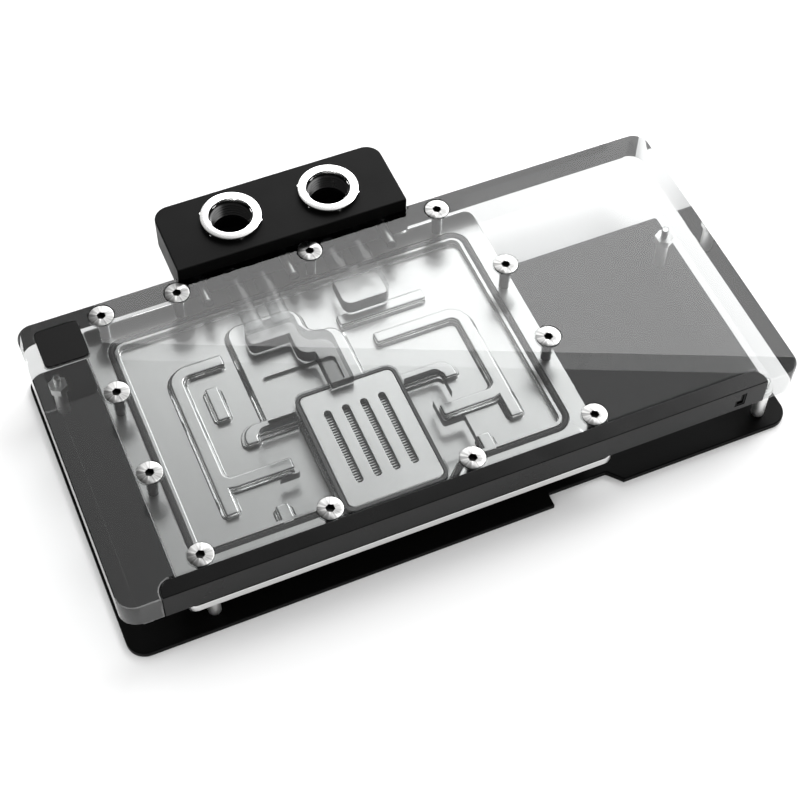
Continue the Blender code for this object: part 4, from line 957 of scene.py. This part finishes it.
def makeThread(cx, cy, bottom, turns):
    # Helical thread of the port's bore, in a dark copy of the port nickel: painted shade inside the bore.
    look = ports
    pitch, root, steps = look["pitch"], look["bore"] + look["threadDepth"], look["threadSteps"]
    thread = bmesh.new()
    tooth = ((root, 0.0), (look["bore"], pitch * 0.42), (look["bore"], pitch * 0.58), (root, pitch))
    verts = [thread.verts.new((cx + r, cy, bottom + z)) for r, z in tooth]
    edges = [thread.edges.new(pair) for pair in zip(verts, verts[1:])]
    bmesh.ops.spin(thread, geom=verts + edges, cent=(cx, cy, 0), axis=(0, 0, 1), angle=2 * pi * turns,
                   steps=steps * turns, dvec=(0, 0, pitch / steps), use_merge=False)
    bmesh.ops.recalc_face_normals(thread, faces=thread.faces)
    for face in thread.faces:
        face.material_index = 1
    return thread


def makeCollar(cx, cy, bottom, top):
    # Hex under the port's flange, closed towards the barrel.
    radius = ports["hex"] * 2 / sqrt(3)
    collar = bmesh.new()
    made = bmesh.ops.create_cone(collar, cap_ends=False, segments=6, radius1=radius, radius2=radius,
                                 depth=top - bottom)
    bmesh.ops.translate(collar, verts=made["verts"], vec=(cx, cy, (top + bottom) / 2))
    rim = [edge for edge in collar.edges if edge.is_boundary
           and all(vert.co.z > top - 1e-6 for vert in edge.verts)]
    inner = bmesh.ops.create_circle(collar, cap_ends=False, segments=6, radius=ports["barrel"])
    bmesh.ops.translate(collar, verts=inner["verts"], vec=(cx, cy, top))
    loop = list({edge for vert in inner["verts"] for edge in vert.link_edges})
    bmesh.ops.bridge_loops(collar, edges=rim + loop)
    return collar


def makePorts():
    look = ports
    block = high("terminal_block")[2]
    bottom = block - look["barrelLength"]
    root, barrel, flange = look["bore"] + look["threadDepth"], look["barrel"], look["flange"]
    mouth, lip, rim = look["mouth"], look["lip"], look["rim"]
    for duct in ("inlet", "outlet"):
        node = duct + "_port"
        cx, cy = plan(*centreOf(node))
        top = high(node)[2]
        under = top - look["flangeHeight"]
        sleeve = toObject(spun([
            (root, top - mouth - lip), (root, top - mouth), (root + mouth * 0.6, top), (flange - rim, top),
            (flange - rim * 0.3, top - rim * 0.3), (flange, top - rim), (flange, under), (barrel, under),
            (barrel, bottom), (root, bottom), (root, bottom + lip),
        ], cx, cy, 64), "portSleeve" + duct.capitalize())
        for finish in ("port", "thread"):
            sleeve.data.materials.append(finishes[finish])
        turns = int((top - mouth - bottom) / look["pitch"]) - 1
        joined(sleeve, [makeThread(cx, cy, bottom, turns), makeCollar(cx, cy, block + look["gap"], under)])
        fit(sleeve, "port", node)


# Badge plate, backplate and standoffs

badgePlate = {"gap": 0.0003, "corner": 0.00185, "rim": 0.00012}
backplate = {"overhang": 0.0015, "right": 0.20385, "back": 0.0832, "tail": 0.0995, "tailWidth": 0.0500,
             "corner": 0.0055, "tailCorner": 0.0050, "small": 0.0010, "rim": 0.0003, "underRim": 0.0002,
             "notch": (0.1263, 0.1450, 0.1488), "notchDepth": 0.0043,
             "footHole": 0.00215, "footDepth": 0.0015, "studHole": 0.00115}


def makeBadge():
    half = clearTop["badgeHalf"] - badgePlate["gap"]
    badge = toObject(slab(centred(*clearTop["badge"], half, half, badgePlate["corner"]),
                          low("badge_plate")[2], high("badge_plate")[2], topRim=badgePlate["rim"]), "badgePlate")
    fit(badge, "badge", "badge_plate")


def makeBackplate():
    look = backplate
    front = -look["overhang"]
    start, end, slant = look["notch"]
    deep = front + look["notchDepth"]
    outline = [
        (0, front, look["corner"]), (start, front, 0), (start, deep, look["small"]), (end, deep, look["small"]),
        (slant, front, 0), (look["right"], front, look["corner"]), (look["right"], look["back"], look["small"]),
        (look["tailWidth"], look["back"], 0), (look["tailWidth"], look["tail"], look["small"]),
        (0, look["tail"], look["tailCorner"]),
    ]
    bottom, top = low("backplate")[2], high("backplate")[2]
    plate = toObject(slab(outline, bottom, top, topRim=look["rim"], bottomRim=look["underRim"], segments=16),
                     "backPlate")
    foot, stud, step = look["footHole"], look["studHole"], bottom + look["footDepth"]
    carve(plate, [turned(*centreOf(node), 32, (foot, bottom - past), (foot, step), (stud, step),
                         (stud, top + past)) for node in nodesOf("standoff")])
    fit(plate, "anodised", "backplate")


standoffs = {"post": 0.0019, "collar": 0.0024, "collarHeight": 0.0015, "rim": 0.00015, "stud": 0.0010,
             "tipRim": 0.0002, "gap": 0.0003, "bore": 0.00115, "boreDepth": 0.0036,
             "hex": 0.0025, "hexHeight": 0.0025, "hexDrop": 0.00005}


def makeStandoffs():
    look = standoffs
    post, collar, stud, rim = look["post"], look["collar"], look["stud"], look["rim"]
    for index, node in enumerate(nodesOf("standoff"), 1):
        x, y = centreOf(node)
        bottom, tip = low(node)[2], high(node)[2]
        top = tip - studLength - look["gap"]
        item = toObject(turned(
            x, y, 40, (look["bore"], bottom + look["boreDepth"]), (look["bore"], bottom), (post - rim, bottom),
            (post, bottom + rim), (post, top - look["collarHeight"]), (collar, top - look["collarHeight"]),
            (collar, top - rim), (collar - rim, top), (stud, top), (stud, tip - look["tipRim"]),
            (stud - look["tipRim"], tip)), f"standoff{index}")
        if index > 2:
            nut = bmesh.new()
            radius = look["hex"] * 2 / sqrt(3)
            made = bmesh.ops.create_cone(nut, cap_ends=True, segments=6, radius1=radius, radius2=radius,
                                         depth=look["hexHeight"])
            bmesh.ops.translate(nut, verts=made["verts"],
                                vec=(*plan(x, y), top - look["hexHeight"] / 2 - look["hexDrop"]))
            joined(item, [nut])
        fit(item, "standoff", node)


makeColdPlate()
makeSeal()
print("cold plate and seal made")
makeJetPlate()
makeClearTop()
print("clear top made")
makeScrews()
makeLightBar()
makeTerminal()
makePorts()
print("screws, light bar, terminal and ports made")
makeBadge()
makeBackplate()
makeStandoffs()
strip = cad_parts["light_strip"]
strip.data.materials.clear()
strip.data.materials.append(finishes["board"])
print("backplate, standoffs and strip made")


# Floor, lights and camera

stageLook = {"floorSize": 3.0, "floorColor": (0.85, 0.85, 0.85, 1.0), "floorDrop": 0.00005}


def makeFloor():
    bm = bmesh.new()
    bmesh.ops.create_grid(bm, x_segments=1, y_segments=1, size=stageLook["floorSize"])
    bmesh.ops.translate(bm, verts=bm.verts, vec=(0, 0, -stageLook["floorDrop"]))
    floor = toObject(bm, "floor")
    material, tree, shader = newMaterial("paleFloor")
    shader.inputs["Base Color"].default_value = stageLook["floorColor"]
    shader.inputs["Roughness"].default_value = 1.0
    shader.inputs["Specular IOR Level"].default_value = 0.0
    floor.data.materials.append(material)


worldLook = {"seen": 1.0, "fill": 1.05, "dark": 0.05, "bright": 0.95, "behind": 60.0, "turnFrom": 0.0,
             "turnTo": 0.35}


def makeWorld():
    # White to the camera, even fill for dull surfaces, and for bright ones dark in front and bright behind.
    world = bpy.data.worlds.new("paleStudio")
    world.use_nodes = True
    bpy.context.scene.world = world
    tree = world.node_tree
    back = tree.nodes["Background"]
    path = addNode(tree, "ShaderNodeLightPath")
    way = addNode(tree, "ShaderNodeVectorMath", operation="DOT_PRODUCT")
    link(tree, addNode(tree, "ShaderNodeTexCoord").outputs["Generated"], way.inputs[0])
    turn = radians(worldLook["behind"])
    way.inputs[1].default_value = (sin(turn), cos(turn), 0.0)
    gloss = spread(tree, way.outputs["Value"], worldLook["dark"], worldLook["bright"], worldLook["turnFrom"],
                   worldLook["turnTo"])
    level = addNode(tree, "ShaderNodeMapRange")
    link(tree, path.outputs["Is Diffuse Ray"], level.inputs["Value"])
    link(tree, gloss, level.inputs["To Min"])
    level.inputs["To Max"].default_value = worldLook["fill"]
    final = addNode(tree, "ShaderNodeMapRange")
    link(tree, path.outputs["Is Camera Ray"], final.inputs["Value"])
    link(tree, level.outputs["Result"], final.inputs["To Min"])
    final.inputs["To Max"].default_value = worldLook["seen"]
    back.inputs["Color"].default_value = (1, 1, 1, 1)
    link(tree, final.outputs["Result"], back.inputs["Strength"])


softboxLook = {"distance": 0.40, "azimuth": 24.1, "width": 0.50, "aside": 0.05, "height": 0.5776,
               "radiance": 3.0, "diffuse": 0.15}
keyLook = {"place": (0.9, 0.35, 1.1), "size": 0.5, "power": 9.0}


def makeSoftbox():
    # Upright softbox behind the block, square to the line of sight.
    look = softboxLook
    height = look["height"]
    lamp = bpy.data.lights.new("backSoftbox", "AREA")
    lamp.shape = "RECTANGLE"
    lamp.size = look["width"]
    lamp.size_y = height
    lamp.energy = look["radiance"] * look["width"] * height * pi
    lamp.diffuse_factor = look["diffuse"]
    softbox = bpy.data.objects.new("backSoftbox", lamp)
    turn = radians(look["azimuth"])
    across, aside = look["distance"], look["aside"]
    softbox.location = (sin(turn) * across + cos(turn) * aside, cos(turn) * across - sin(turn) * aside, height / 2)
    softbox.rotation_euler = Euler((-pi / 2, 0, -turn))
    softbox.visible_camera = False
    bpy.context.collection.objects.link(softbox)


def makeKey():
    # Lamp at the right that gives the shadow its side and leaves no highlight.
    lamp = bpy.data.lights.new("sideKey", "AREA")
    lamp.size = keyLook["size"]
    lamp.energy = keyLook["power"]
    lamp.specular_factor = 0.0
    key = bpy.data.objects.new("sideKey", lamp)
    key.location = keyLook["place"]
    key.rotation_euler = (-Vector(keyLook["place"])).to_track_quat("-Z", "Y").to_euler()
    bpy.context.collection.objects.link(key)


cameraLook = {"place": (-0.124286, -0.285028, 0.429587), "turn": (34.933, -0.6966, -23.1347), "lens": 79.0}


def makeCamera():
    data = bpy.data.cameras.new("photoCamera")
    data.lens = cameraLook["lens"]
    data.sensor_width = 36.0
    data.clip_start = 0.01
    data.clip_end = 20.0
    camera = bpy.data.objects.new("photoCamera", data)
    camera.location = cameraLook["place"]
    camera.rotation_euler = Euler([radians(angle) for angle in cameraLook["turn"]])
    bpy.context.collection.objects.link(camera)
    bpy.context.scene.camera = camera


makeFloor()
makeWorld()
makeSoftbox()
makeKey()
makeCamera()
bpy.context.scene.view_settings.view_transform = "Standard"
print("stage set")
